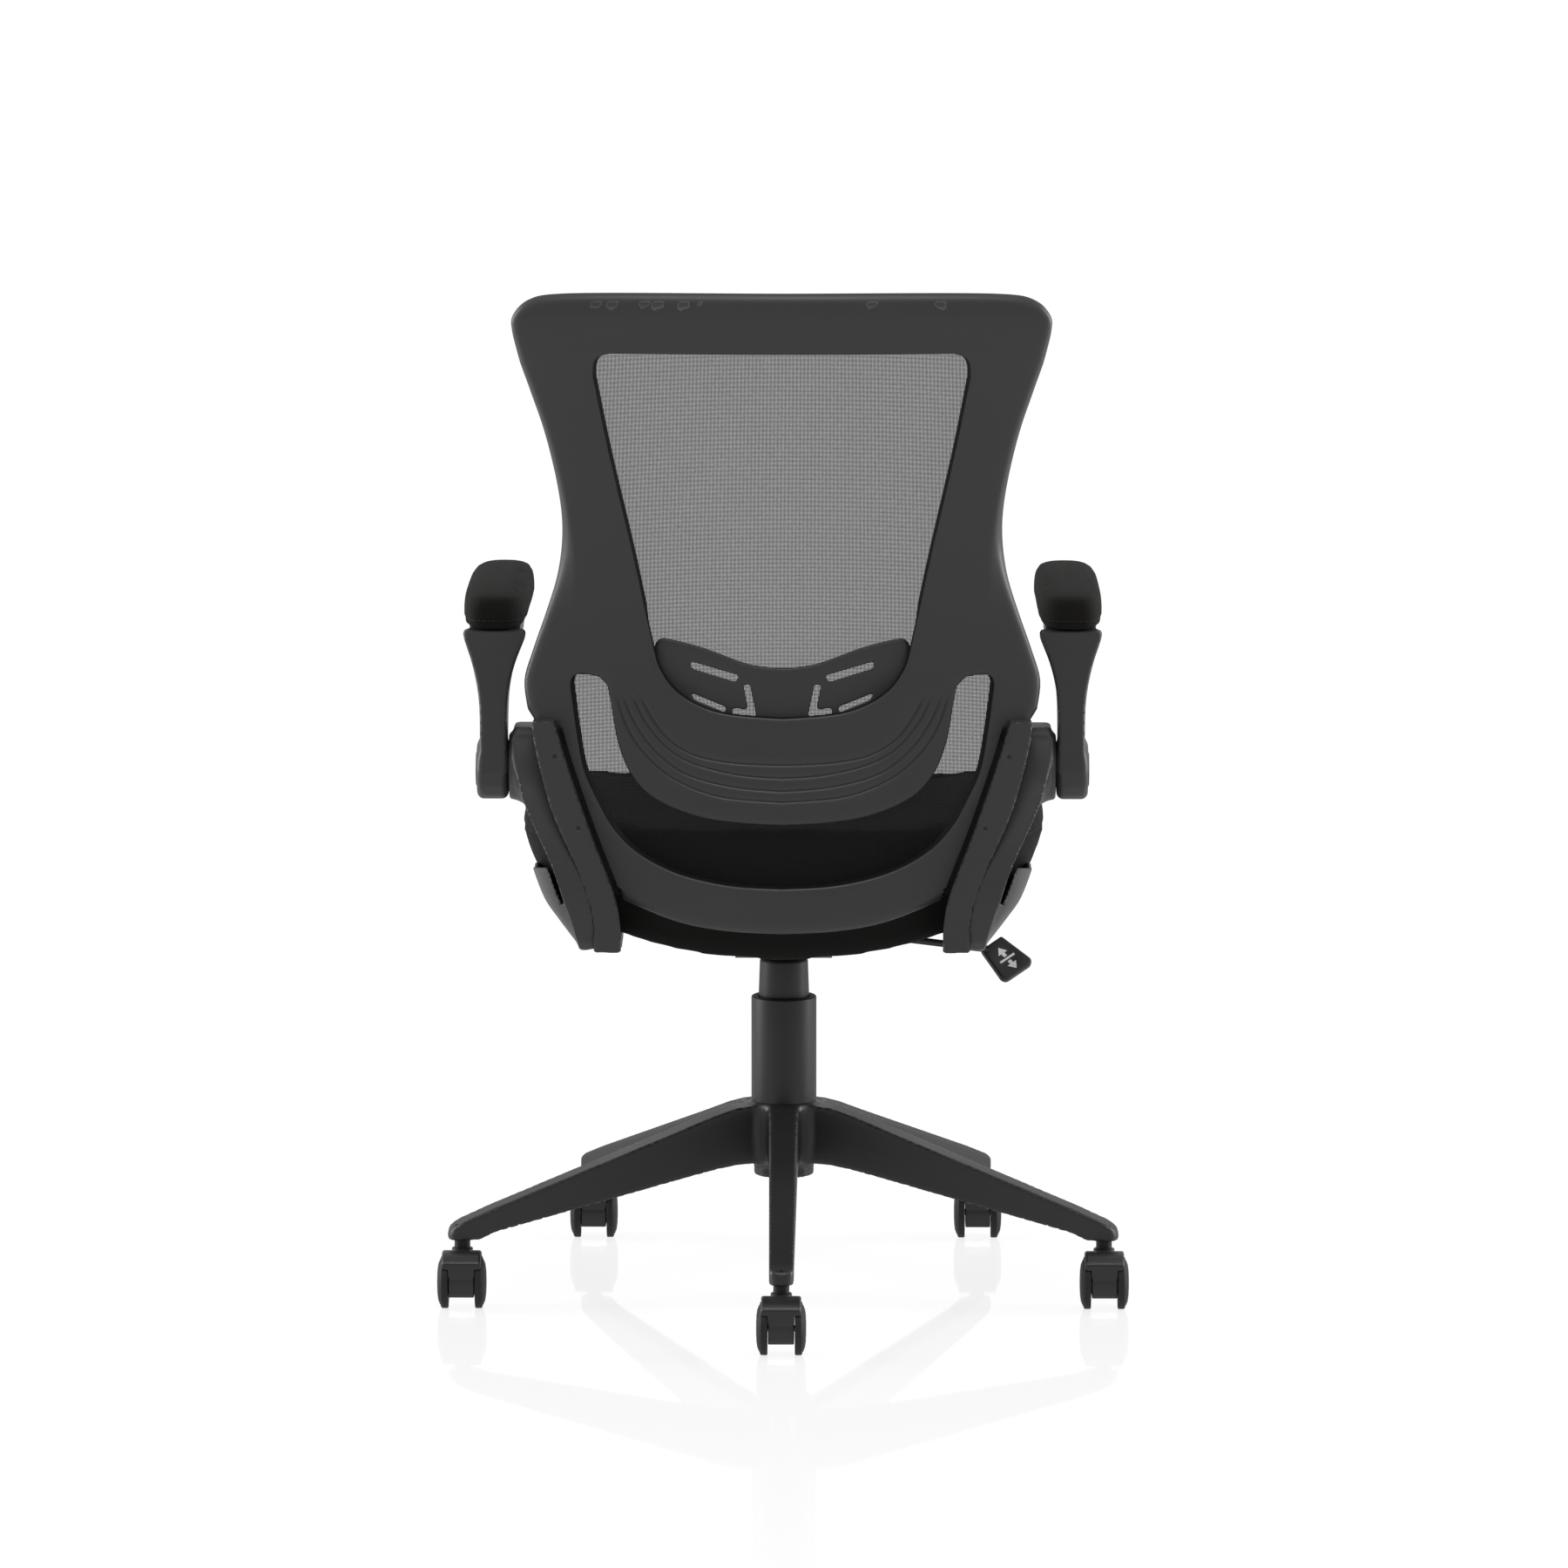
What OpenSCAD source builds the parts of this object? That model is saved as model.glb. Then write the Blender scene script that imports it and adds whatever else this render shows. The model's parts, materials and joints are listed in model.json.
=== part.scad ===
// Swivel office chair: mesh back, gas lift, centre tilt, flip-up arms, five castors.
// Origin on the floor under the column axis, +Z up. The sitter faces -Y, so the back is at +Y.

/* [Base] */
// Distance from the column axis to each castor's swivel axis
base_r = 320; // [312:1:330]
// Width of a leg at its root
leg_w = 27; // [25:1:30]
// Height of the hub's top face, where the column cover stands
hub_top = 180; // [179:1:181]

/* [Castors] */
// Wheel diameter
wheel_d = 50; // [49:1:50]
// Width over both wheels
castor_w = 46.5; // [44:0.5:48]
// How far the axle trails the swivel axis
castor_trail = 18; // [15:1:20]

/* [Column] */
// Outer diameter of the fixed steel tube
tube_d = 46; // [45:1:46]
// Outer diameter of the plastic cover
cover_d = 59; // [57:1:61]
// Diameter of the pressure cylinder
cylinder_d = 28; // [28:1:28]

/* [Seat] */
// Width of the cushion
seat_w = 496; // [490:2:500]
// Depth of the cushion
seat_l = 480; // [470:2:484]

/* [Arms] */
// Height of the arm's pivot above the floor
arm_pivot_z = 525; // [524:1:526]
// Length of the arm pad
pad_l = 262; // [240:2:266]

/* [Back] */
// Radius of the back's curve seen from above
back_r = 900; // [880:10:940]
// Thickness of the back frame's moulding
frame_t = 22; // [20:1:23]

/* [Hidden] */

$fn = 64;
e = 1;                      // overshoot of a cut past a face
fit = 0.05;                 // radial clearance of a running fit
legs = 5;
leg_step = 360 / legs;

// Colours
c_frame = [0.26, 0.26, 0.27];
c_base = [0.20, 0.20, 0.21];
c_fabric = [0.14, 0.13, 0.12];
c_pad = [0.16, 0.15, 0.14];
c_steel = [0.55, 0.56, 0.58];
c_mesh = [0.35, 0.35, 0.36];
c_wood = [0.72, 0.58, 0.40];

// ---------- General helpers ----------

// Point on a Catmull-Rom curve between b and c
function catmull(a, b, c, d, t) =
    0.5 * (2 * b + (c - a) * t + (2 * a - 5 * b + 4 * c - d) * t * t + (3 * b - a - 3 * c + d) * t * t * t);

// Smooth curve through a list of points, n steps to a span
function smooth(p, n) = let (m = len(p) - 1)
    concat([for (i = [0:m - 1], k = [0:n - 1])
        catmull(p[max(i - 1, 0)], p[i], p[i + 1], p[min(i + 2, m)], k / n)], [p[m]]);

function reversed(p) = [for (i = [len(p) - 1:-1:0]) p[i]];
// Whole symmetric outline from its right half, which starts and ends on the middle line
function whole(edge) = concat(edge, reversed([for (q = edge) if (q[0] > 0) [-q[0], q[1]]]));
function unit(v) = v / norm(v);

// Outline moved inwards by d, for a closed list of points given anticlockwise
function inset(p, d) = let (m = len(p))
    [for (i = [0:m - 1]) let (t = unit(p[(i + 1) % m] - p[(i + m - 1) % m])) p[i] + d * [-t[1], t[0]]];

// Superellipse of half-widths a and b with exponent n
function squircle(a, b, n, steps) = [for (i = [0:steps - 1]) let (t = 360 * i / steps)
    [a * sign(cos(t)) * pow(abs(cos(t)), 2 / n), b * sign(sin(t)) * pow(abs(sin(t)), 2 / n)]];

// Middle of a ring of points
function middle(ring) = [for (k = [0:2]) [for (q = ring) q[k]] * [for (q = ring) 1] / len(ring)];

// Solid from a stack of rings with the same number of points, each end closed by a fan
module ring_solid(rings) {
    n = len(rings[0]);
    last = len(rings) - 1;
    ends = n * (last + 1);
    points = concat([for (r = rings, q = r) q], [middle(rings[0]), middle(rings[last])]);
    faces = concat(
        [for (i = [0:n - 1]) [ends, i, (i + 1) % n]],
        [for (k = [0:last - 1], i = [0:n - 1]) [k * n + i, (k + 1) * n + i, (k + 1) * n + (i + 1) % n]],
        [for (k = [0:last - 1], i = [0:n - 1]) [k * n + i, (k + 1) * n + (i + 1) % n, k * n + (i + 1) % n]],
        [for (i = [0:n - 1]) [ends + 1, last * n + (i + 1) % n, last * n + i]]);
    polyhedron(points, faces, convexity = 4);
}

// Flat plate standing in the XZ plane, from y1 to y2
module standing_plate(points, y1, y2)
    translate([0, y2, 0]) rotate([90, 0, 0]) linear_extrude(y2 - y1) polygon(points);

// Profile given as (y, z), extruded along X from x1 to x2
module side_plate(points, x1, x2)
    translate([x1, 0, 0]) rotate([90, 0, 90]) linear_extrude(x2 - x1) polygon(points);

module cyl_x(r, x1, x2, y, z) translate([x1, y, z]) rotate([0, 90, 0]) cylinder(r = r, h = x2 - x1);
module cyl_y(r, y1, y2, x, z) translate([x, y2, z]) rotate([90, 0, 0]) cylinder(r = r, h = y2 - y1);
module block(x1, x2, y1, y2, z1, z2) translate([x1, y1, z1]) cube([x2 - x1, y2 - y1, z2 - z1]);

// Round rod between two points
module rod(p, q, r) {
    d = q - p;
    translate(p) rotate([0, acos(d[2] / norm(d)), atan2(d[1], d[0])]) cylinder(r = r, h = norm(d));
}

module both_sides() {
    children();
    mirror([1, 0, 0]) children();
}

// ---------- Star base ----------

tip_z = 63;                 // underside of a leg's tip
socket_r = 5.5;
socket_top = 76;
tube_bottom = 110;
taper_top = 170;
taper_r = tube_d / 2 - 1;   // tube radius at its bottom

leg_top_line = [[24, 178], [50, 176], [74, 169], [110, 156], [200, 124.5], [290, 93], [base_r, 81.5],
    [base_r + 11, 75], [base_r + 14.5, 68], [base_r + 13, tip_z]];
leg_bottom_line = [[base_r - 14, tip_z], [290, 69.5], [200, 89.5], [110, 109.5], [70, 118], [50, 121], [24, 122]];
leg_hollow = [[40, 60], [40, 166], [74, 162], [110, 150], [200, 119], [290, 88], [298, 80], [298, 60]];

module leg() difference() {
    intersection() {
        standing_plate(concat(leg_top_line, leg_bottom_line), -40, 40);
        linear_extrude(200) polygon(concat(
            [for (t = [-80:20:80]) [base_r + 3 + 11.5 * cos(t), 11.5 * sin(t)]],
            [[80, leg_w / 2], [52, leg_w / 2 + 3], [20, 24], [20, -24], [52, -leg_w / 2 - 3], [80, -leg_w / 2]]));
    }
    intersection() {
        standing_plate(leg_hollow, -40, 40);
        linear_extrude(200) polygon([[40, 8], [80, 9.6], [298, 7.4], [298, -7.4], [80, -9.6], [40, -8]]);
    }
    translate([base_r, 0, tip_z - e]) cylinder(r = socket_r, h = socket_top - tip_z + e);
}

module star_base() color(c_base) difference() {
    union() {
        for (i = [0:legs - 1]) rotate([0, 0, 90 + leg_step * i]) leg();
        rotate_extrude() polygon([[0, 108], [27, 108], [28.5, 109.5], [28.5, 118], [33, 122], [35, 150], [34, 176],
            [31, hub_top], [0, hub_top]]);
    }
    translate([0, 0, tube_bottom]) cylinder(r1 = taper_r, r2 = tube_d / 2, h = taper_top - tube_bottom);
    translate([0, 0, taper_top]) cylinder(r = tube_d / 2, h = hub_top - taper_top + e);
    translate([0, 0, 108 - e]) cylinder(r = 19, h = 10);
}

// ---------- Castors ----------

wheel_r = wheel_d / 2;
housing_half = 12.2;        // half-width of the housing's web
hood_half = 20.5;           // half-width of the hood over the wheels
hood_r = wheel_r + 5;
hood_top = 55;
pin_r = 4;
axle_r = 3;

// Places a castor part at castor i
module at_castor(i) translate([base_r * cos(90 + leg_step * (i - 1)), base_r * sin(90 + leg_step * (i - 1)), 0])
    children();

module castor_stems() color(c_steel) for (i = [1:legs]) at_castor(i) {
    translate([0, 0, tip_z]) cylinder(r = socket_r, h = socket_top - tip_z - 1);
    translate([0, 0, hood_top + 0.3]) cylinder(r = 7.5, h = tip_z - hood_top - 0.3);
    translate([0, 0, 30]) cylinder(r = pin_r, h = tip_z - 30);
}

module castor_housing(i) color(c_base) at_castor(i) difference() {
    union() {
        intersection() {
            cyl_x(hood_r, -hood_half, hood_half, castor_trail, wheel_r);
            block(-30, 30, -30, castor_trail + 22, 32, 60);
        }
        intersection() {
            cyl_x(wheel_r - 3, -housing_half, housing_half, castor_trail, wheel_r);
            block(-30, 30, -30, 60, 13, 60);
        }
        translate([0, 0, 28]) cylinder(r = 10, h = hood_top - 28);
    }
    both_sides() cyl_x(wheel_r + 1.5, housing_half, 30, castor_trail, wheel_r);
    translate([0, 0, 29]) cylinder(r = pin_r + fit, h = 40);
    cyl_x(axle_r, -30, 30, castor_trail, wheel_r);
}

module castor_axle(i) color(c_steel) at_castor(i) cyl_x(axle_r, -21, 21, castor_trail, wheel_r);

// Left wheel at +X: a rim with a domed outer face, turned about its axle
module castor_wheel(i, side) color(c_base) at_castor(i) translate([0, castor_trail, wheel_r])
    rotate([0, side * 90, 0]) rotate_extrude() polygon([
        [axle_r + fit, housing_half + 0.4], [wheel_r - 1, housing_half + 0.4], [wheel_r, housing_half + 1.4],
        [wheel_r, castor_w / 2 - 5], [wheel_r - 1.5, castor_w / 2 - 3.5], [wheel_r - 7, castor_w / 2 - 1],
        [12, castor_w / 2], [axle_r + fit, castor_w / 2]]);

// ---------- Column and gas lift ----------

tube_r = tube_d / 2;
tube_in = tube_r - 1.6;
tube_top = 283;
bush_bottom = 240;
bush_top = 317;
cyl_r = cylinder_d / 2;
cyl_bottom = 132;
cyl_top = 338.6;            // top of the cone in the mechanism
cone_r = cyl_r - 0.4;
rod_r = 5;
pan_floor = 322;

module column_tube() color(c_steel) difference() {
    union() {
        translate([0, 0, tube_bottom]) cylinder(r1 = taper_r, r2 = tube_r, h = taper_top - tube_bottom);
        translate([0, 0, taper_top]) cylinder(r = tube_r, h = tube_top - taper_top);
    }
    translate([0, 0, tube_bottom + 4]) cylinder(r = 20, h = 60);
    translate([0, 0, taper_top]) cylinder(r = tube_in, h = 200);
    translate([0, 0, tube_bottom - e]) cylinder(r = rod_r + fit, h = 10);
}

module column_bush() color(c_base) rotate_extrude() polygon([[cyl_r + fit, bush_bottom], [tube_in, bush_bottom],
    [tube_in, tube_top], [22.4, tube_top], [21, bush_top - 1], [20, bush_top], [cyl_r + fit, bush_top]]);

module column_cover() color(c_base) rotate_extrude() polygon([[cover_d / 2 - 2.2, hub_top], [cover_d / 2, hub_top],
    [cover_d / 2, 280], [cover_d / 2 - 1, 281], [24.4, 281], [24.4, 278.5], [cover_d / 2 - 2.2, 278.5]]);

module thrust_bearing() color(c_steel) {
    for (z = [114, 119.5]) translate([0, 0, z]) difference() {
        cylinder(r = 12, h = 1.5);
        translate([0, 0, -e]) cylinder(r = 6, h = 4);
    }
    for (i = [0:7]) rotate([0, 0, 45 * i]) translate([9, 0, 117.5]) sphere(r = 1.98, $fn = 24);
}

module piston_rod() color(c_steel) {
    translate([0, 0, 108.4]) cylinder(r = 4, h = 30);
    translate([0, 0, tube_bottom + 0.2]) cylinder(r = rod_r, h = 145);
    translate([0, 0, 121.2]) cylinder(r = 11, h = 3);
    translate([0, 0, 250]) cylinder(r = 12.7, h = 12);
}

module rod_clip() color(c_steel) translate([0, 0, 108.6]) difference() {
    cylinder(r = 9, h = 1.2);
    translate([0, 0, -e]) cylinder(r = 4, h = 4);
}

module gas_cylinder() color(c_base) difference() {
    union() {
        translate([0, 0, cyl_bottom]) cylinder(r = cyl_r, h = pan_floor - cyl_bottom);
        translate([0, 0, pan_floor]) cylinder(r1 = cyl_r, r2 = cone_r, h = cyl_top - pan_floor);
    }
    translate([0, 0, cyl_bottom + 6]) cylinder(r = 12.8, h = 180);
    translate([0, 0, cyl_bottom - e]) cylinder(r = rod_r + fit, h = 20);
    translate([0, 0, 300]) cylinder(r = 4 + fit, h = 60);
}

button_top = 342.95;
module release_button() color(c_steel) {
    translate([0, 0, 322]) cylinder(r = 4, h = button_top - 323);
    translate([0, 0, button_top - 1]) cylinder(r1 = 4, r2 = 1.5, h = 1);
}

// ---------- Tilt mechanism ----------

tilt_y = -35;
tilt_z = 345;
pan_half = 46;
plate_z = 364;              // underside of the seat plate
board_z = 367;
bolt_y = -78;
tongue_z = 341.3;           // underside of the tilt lock's tongue
knob_r = 20;
knob_top = 304;
knob_bottom = 286;
knob_floor = 291;
spring_wire = 1.5;
spring_r = 12;
spring_turns = 5;

module mechanism_housing() color(c_base) difference() {
    union() {
        difference() {
            side_plate([[-102, 330], [-94, 322], [30, 322], [47, 329], [47, 339.5], [tilt_y, 357], [-102, 357]],
                -pan_half, pan_half);
            side_plate([[-99, 332], [-92, 325], [29, 325], [44, 331], [44, 400], [-99, 400]],
                3 - pan_half, pan_half - 3);
        }
        translate([0, 0, pan_floor]) cylinder(r = 22, h = 17.2);
    }
    translate([0, 0, pan_floor]) cylinder(r1 = cyl_r, r2 = cone_r, h = cyl_top - pan_floor);
    translate([0, 0, cyl_top]) cylinder(r = cone_r, h = 5);
    cyl_x(5, -60, 60, tilt_y, tilt_z);
    translate([0, bolt_y - 3, 310]) cylinder(r = 8, h = 20);
    block(-60, -40, -6, 6, 339, 352);
    block(-60, -40, 19, 27, tongue_z - 0.5, 352);
}

module tilt_axle() color(c_steel) {
    cyl_x(5, -53, 53, tilt_y, tilt_z);
    both_sides() cyl_x(8, 51, 53, tilt_y, tilt_z);
}

// Helical compression spring between the pan and the knob
module tilt_spring() color(c_steel) {
    sides = 8;
    steps = 16 * spring_turns;
    z0 = knob_floor + spring_wire;
    rise = pan_floor - spring_wire - z0;
    ring_solid([for (k = [0:steps]) let (a = 360 * spring_turns * k / steps)
        [for (j = [0:sides - 1]) let (b = -360 * j / sides, r = spring_r + spring_wire * cos(b))
            [r * cos(a), bolt_y + r * sin(a), z0 + rise * k / steps + spring_wire * sin(b)]]]);
}

module tension_bolt() color(c_steel) translate([0, bolt_y, 0]) {
    translate([0, 0, 288.5]) cylinder(r = 4, h = plate_z - 288.5);
    translate([0, 0, plate_z - 5]) cylinder(r = 9, h = 5);
}

module tension_knob() color(c_base) translate([0, bolt_y, 0]) difference() {
    union() {
        rotate_extrude() polygon([[0, knob_bottom], [knob_r - 3, knob_bottom], [knob_r - 1, knob_bottom + 2],
            [knob_r - 1, knob_top], [0, knob_top]]);
        for (i = [0:11]) rotate([0, 0, 30 * i]) translate([knob_r - 2, 0, knob_bottom + 2])
            cylinder(r = 2, h = 14, $fn = 16);
    }
    translate([0, 0, knob_floor]) cylinder(r = 15.5, h = 20);
    translate([0, 0, 288]) cylinder(r = 4 + fit, h = 20);
}

// ---------- Height lever and tilt lock ----------

lever_x = -60;              // pivot of the lever in the slider
lever_z = 346;
lever_bend = [-96, 0, 338];
lever_end = [-196, 2, 326];

module tilt_lock_slider() color(c_steel) {
    difference() {
        union() {
            block(-66, -56, -10, 10, 336, 349.5);
            block(-66, -56, 9, 28, 336, 344.5);
        }
        block(-70, -50, -4.6, 4.6, 339, 352);
    }
    cyl_y(2, -10, 10, lever_x, lever_z);
    block(-58, -40, 20, 26, tongue_z, tongue_z + 2.4);
}

module height_lever() color(c_steel) difference() {
    union() {
        block(-68, 6, -4, 4, lever_z - 2.9, lever_z + 3);
        rod([-68, 0, lever_z - 0.6], lever_bend, 2.6);
        translate(lever_bend) sphere(r = 3.4);
        rod(lever_bend, lever_end, 3.4);
    }
    cyl_y(2 + fit, -20, 20, lever_x, lever_z);
}

// Flared paddle: its long axis runs outwards, back and down, its face looks up and back
paddle_at = [-193, 0, 329];
paddle_l = 40.5;
paddle_t = 7;
paddle_root = [-6.2, 20];
paddle_tip = [-11.8, 28.2];
tip_corner = 6;
paddle_axis = unit([-0.648, 0.4, -0.648]);
paddle_across = unit([-0.74, -0.527, 0.417]);
paddle_up = cross(paddle_axis, paddle_across);

module paddle_frame() multmatrix([for (i = [0:2])
    [paddle_axis[i], paddle_across[i], paddle_up[i], paddle_at[i]]]) children();

module lever_paddle() color(c_base) difference() {
    paddle_frame() translate([0, 0, -paddle_t]) linear_extrude(paddle_t) polygon(concat(
        [[0, paddle_root[0]], [paddle_l - tip_corner, paddle_tip[0]]],
        [for (t = [-90:30:0])
            [paddle_l - tip_corner, paddle_tip[0] + tip_corner] + tip_corner * [cos(t), sin(t)]],
        [for (t = [0:30:90])
            [paddle_l - tip_corner, paddle_tip[1] - tip_corner] + tip_corner * [cos(t), sin(t)]],
        [[0, paddle_root[1]]]));
    rod(lever_bend, lever_end, 3.4);
}

// ---------- Seat ----------

seat_y = -20;               // middle of the cushion
board_top = 379;
board_half = 176;
board_long = 186;
seat_steps = 64;

module seat_plate() color(c_steel) difference() {
    union() {
        block(-92, 92, -105, 95, plate_z, board_z);
        both_sides() block(47, 50, -60, -10, 336, plate_z);
        block(-38, -35, 16, 30, 339, plate_z);
    }
    for (x = [-75, 75], y = [-88, 75]) translate([x, y, 350]) cylinder(r = 3.3, h = 20);
    cyl_x(5 + fit, -60, 60, tilt_y, tilt_z);
    translate([0, 0, 350]) cylinder(r = 30, h = 20);
    block(-45, -30, 19.5, 26.5, tongue_z - 0.3, tongue_z + 2.7);
}

module seat_plate_bolts() color(c_steel) for (x = [-75, 75], y = [-88, 75]) translate([x, y, 0]) {
    translate([0, 0, plate_z - 5]) cylinder(r = 6.5, h = 5);
    translate([0, 0, plate_z - 5]) cylinder(r = 3, h = board_top - plate_z + 5);
}

module seat_board() color(c_wood) difference() {
    translate([0, seat_y, board_z]) linear_extrude(board_top - board_z)
        polygon(squircle(board_half, board_long, 6, 48));
    for (x = [-75, 75], y = [-88, 75]) translate([x, y, 350]) cylinder(r = 3, h = 40);
    both_sides() for (q = foot_bolts) translate([q[0], q[1], 350]) cylinder(r = 3, h = 40);
}

// Rings of the cushion, from its underside to its widest line: half-width, half-length, height and squareness
seat_rings = [[178, 192, 367.3, 6], [192, 198, 369.5, 5.4], [203, 203, 376, 4.8], [213, 208, 385.5, 4.2],
    [223, 215, 400, 3.8], [229, 221, 411, 3.6], [235, 226, 422, 3.6], [245, 236.5, 440, 3.6],
    [seat_w / 2, seat_l / 2, 456, 3.6], [seat_w / 2 - 3, seat_l / 2 - 3, 463, 3.6],
    [seat_w / 2 - 12, seat_l / 2 - 12, 468, 3.6]];
belly = 25;                 // how far the edge hangs below the board, behind and in front
foot_in = 150;              // the feet of the brackets lie outside this line
front_drop = 26;

// How far the edge is drawn down at a point of a ring: less higher up, and more along the front
function edge_drop(p, z) = belly * max(0, 1 - pow(p[0] / foot_in, 2)) * max(0, (422 - z) / (422 - board_z))
    + (z - board_z) / 101 * front_drop * pow(max(0, (-p[1] - 140) / 120), 2);

// Height of the dished top at a point
function seat_top(x, y) = 455 + 13 * pow(abs(x) / 240, 2) + 6 * max(0, (y - 60) / 160)
    - front_drop * pow(max(0, (-y - 120) / 140), 2);

module seat_cushion() color(c_fabric) difference() {
    translate([0, seat_y, 0]) ring_solid(concat(
        [for (q = seat_rings) [for (p = squircle(q[0], q[1], q[3], seat_steps))
            [p[0], p[1], q[2] - edge_drop(p, q[2])]]],
        [for (s = [0.86, 0.7, 0.5, 0.28, 0.08])
            [for (p = squircle(seat_w / 2 - 12, seat_l / 2 - 12, 3.6, seat_steps))
            [s * p[0], s * p[1], seat_top(s * p[0], s * p[1] + seat_y) + 3 * (1 - pow(s, 4))]]]));
    translate([0, seat_y, 330]) linear_extrude(board_top - 330) polygon(squircle(160, 172, 5, 48));
    translate([0, seat_y, board_z]) linear_extrude(board_top - board_z)
        polygon(squircle(board_half + 0.2, board_long + 0.2, 6, 48));
    both_sides() block(foot_in, 196, -96, 262, 340, board_z + 0.3);
}

module seat_underside_cover() color(c_fabric) difference() {
    translate([0, seat_y, board_z - 2]) linear_extrude(2) polygon(squircle(foot_in - 1, 168, 5, 48));
    block(-94, 94, -107, 97, 350, 370);
}

// ---------- Back frame ----------

// Rear face of the back on its centre line, as (y, z), from the crossbar to the top
back_line = smooth([[257, 351], [255, 370], [251, 420], [245, 480], [237, 530], [230, 580], [225.5, 630], [225.5, 680],
    [231, 730], [240, 765], [262, 830], [285, 895], [304, 940], [320, 992]], 3);

// Slab that follows the back's double curve, from d1 to d2 in front of its rear face
module back_slab(d1, d2) translate([0, -back_r, 0]) rotate([0, 0, 68]) rotate_extrude(angle = 44, $fn = 360)
    polygon(concat([for (q = back_line) [back_r + q[0] - d1, q[1]]],
        reversed([for (q = back_line) [back_r + q[0] - d2, q[1]]])));

// Outer edge of the frame's left half, from the top centre down to the crossbar's bottom centre
frame_edge = concat(
    smooth([[0, 984], [130, 984], [208, 982], [236, 976], [249, 962], [250, 948], [245, 922], [235, 890],
        [222, 850], [211, 800], [207, 758], [211, 715], [222, 675], [234, 640], [242, 612], [239, 585]], 3),
    [[228, 568]],
    smooth([[220, 552], [209, 500], [189, 450], [174, 424]], 2),
    smooth([[150, 411], [98, 391], [50, 382.5], [0, 380]], 2));
window_edge = concat(
    [[0, 927], [160, 927], [168, 924], [173, 917]],
    smooth([[174, 905], [160, 830], [138, 730], [121, 650], [112, 622], [92, 600], [56, 585], [0, 580]], 3));
// The long opening below the lumbar band, left half: outer side down, then back along the band
gap_edge = concat(
    [[176, 617], [192, 618], [197, 614]],
    smooth([[196.5, 605], [192, 570], [185, 532], [173, 505], [158, 479], [135, 456], [98, 437], [50, 426], [0, 423]], 3),
    reversed(concat(smooth([[160, 596], [153, 556], [140, 526], [118, 505], [80, 490], [40, 484], [0, 482]], 3))),
    [[164, 607]]);

frame_outline = reversed(whole(frame_edge));

module frame_windows(y1, y2) {
    standing_plate(whole(window_edge), y1, y2);
    both_sides() standing_plate(gap_edge, y1, y2);
    block(-0.5, 0.5, y1, y2, 423.2, 481.8);
}

module back_frame() color(c_frame) difference() {
    intersection() {
        back_slab(0, frame_t);
        standing_plate(frame_outline, 100, 400);
    }
    frame_windows(50, 450);
    intersection() {
        back_slab(12, 40);
        standing_plate([[-150, 470], [150, 470], [128, 660], [-128, 660]], 50, 450);
    }
    for (x = [-1, 1], z = upright_screw_z) cyl_y(2.5, 100, 400, x * upright_screw_x(z), z);
}

module mesh_rim() color(c_base) difference() {
    intersection() {
        back_slab(frame_t + 0.1, frame_t + 5);
        standing_plate(inset(frame_outline, 3), 50, 450);
    }
    standing_plate(inset(frame_outline, 15), 0, 450);
}

module back_mesh() color(c_mesh) intersection() {
    back_slab(frame_t + 1, frame_t + 2.4);
    standing_plate(inset(frame_outline, 15.1), 50, 450);
}

// ---------- Lumbar support ----------

lumbar_edge = smooth([[0, 625], [30, 629], [72, 643], [104, 651], [118, 649], [123, 630], [116, 600], [100, 572],
    [70, 550], [30, 540], [0, 538]], 3);

module lumbar_support() color(c_frame) difference() {
    intersection() {
        back_slab(14, 19);
        standing_plate(whole(lumbar_edge), 50, 450);
    }
    both_sides() {
        standing_plate([[44, 611.5], [86, 624.5], [87, 631], [41, 618]], 50, 450);
        standing_plate([[53.5, 583.5], [83, 595], [87, 601.5], [53.5, 589]], 50, 450);
        standing_plate([[23.5, 577], [46, 577], [47, 585.5], [31.5, 584], [36.5, 609], [30.5, 610]], 50, 450);
    }
}

// ---------- Brackets, uprights and their fasteners ----------

pivot_y = 175;
boss_r = 28;
foot_z = 351;
// Places of the bolts that hold the feet of the brackets and uprights under the board
foot_bolts = [[168, -60], [168, 50], [161, 102], [161, 120]];
foot_split = 90;            // the bracket's foot narrows behind this line, beside the upright's
upright_screw_z = [545, 480];
function upright_screw_x(z) = z > 500 ? 211 : 189;
function upright_screw_y(z) = z > 500 ? [197, 234] : [210, 248];

// Seam between the bracket and the upright, and their free edges, as (x, z)
seam_line = smooth([[232, 572], [228, 548], [215, 500], [199, 462], [187.5, 437], [175, 398], [174, 365]], 2);
outer_line = smooth([[242, 505], [236, 490], [215, 446], [202, 410], [192, 380], [187, 358]], 2);
inner_line = smooth([[212, 577], [200, 537], [178, 475], [157, 421], [150.5, 390], [150, 365]], 2);

// Side view of the rear limb, as (y, z): from the boss down and back to the foot
limb_side = concat(
    [[149, 530], [151, 505]],
    smooth([[160, 500], [188, 485], [211, 462], [222, 430], [224, 400], [215, 376], [190, board_z]], 2),
    [[60, board_z], [60, foot_z], [150, foot_z], [232, 364]],
    smooth([[250, 367], [257, 382], [256, 420], [247, 455], [230, 495], [210, 535], [196, 567]], 2),
    [[160, 567]]);
// Side views of the brackets' and uprights' feet, as (y, z)
foot_taper = [[0, foot_z], [140, foot_z], [190, 359], [190, board_z], [0, board_z]];
upright_foot = [[foot_split + 1, foot_z], [150, foot_z], [256, 365], [256, board_z], [foot_split + 1, board_z]];

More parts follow.
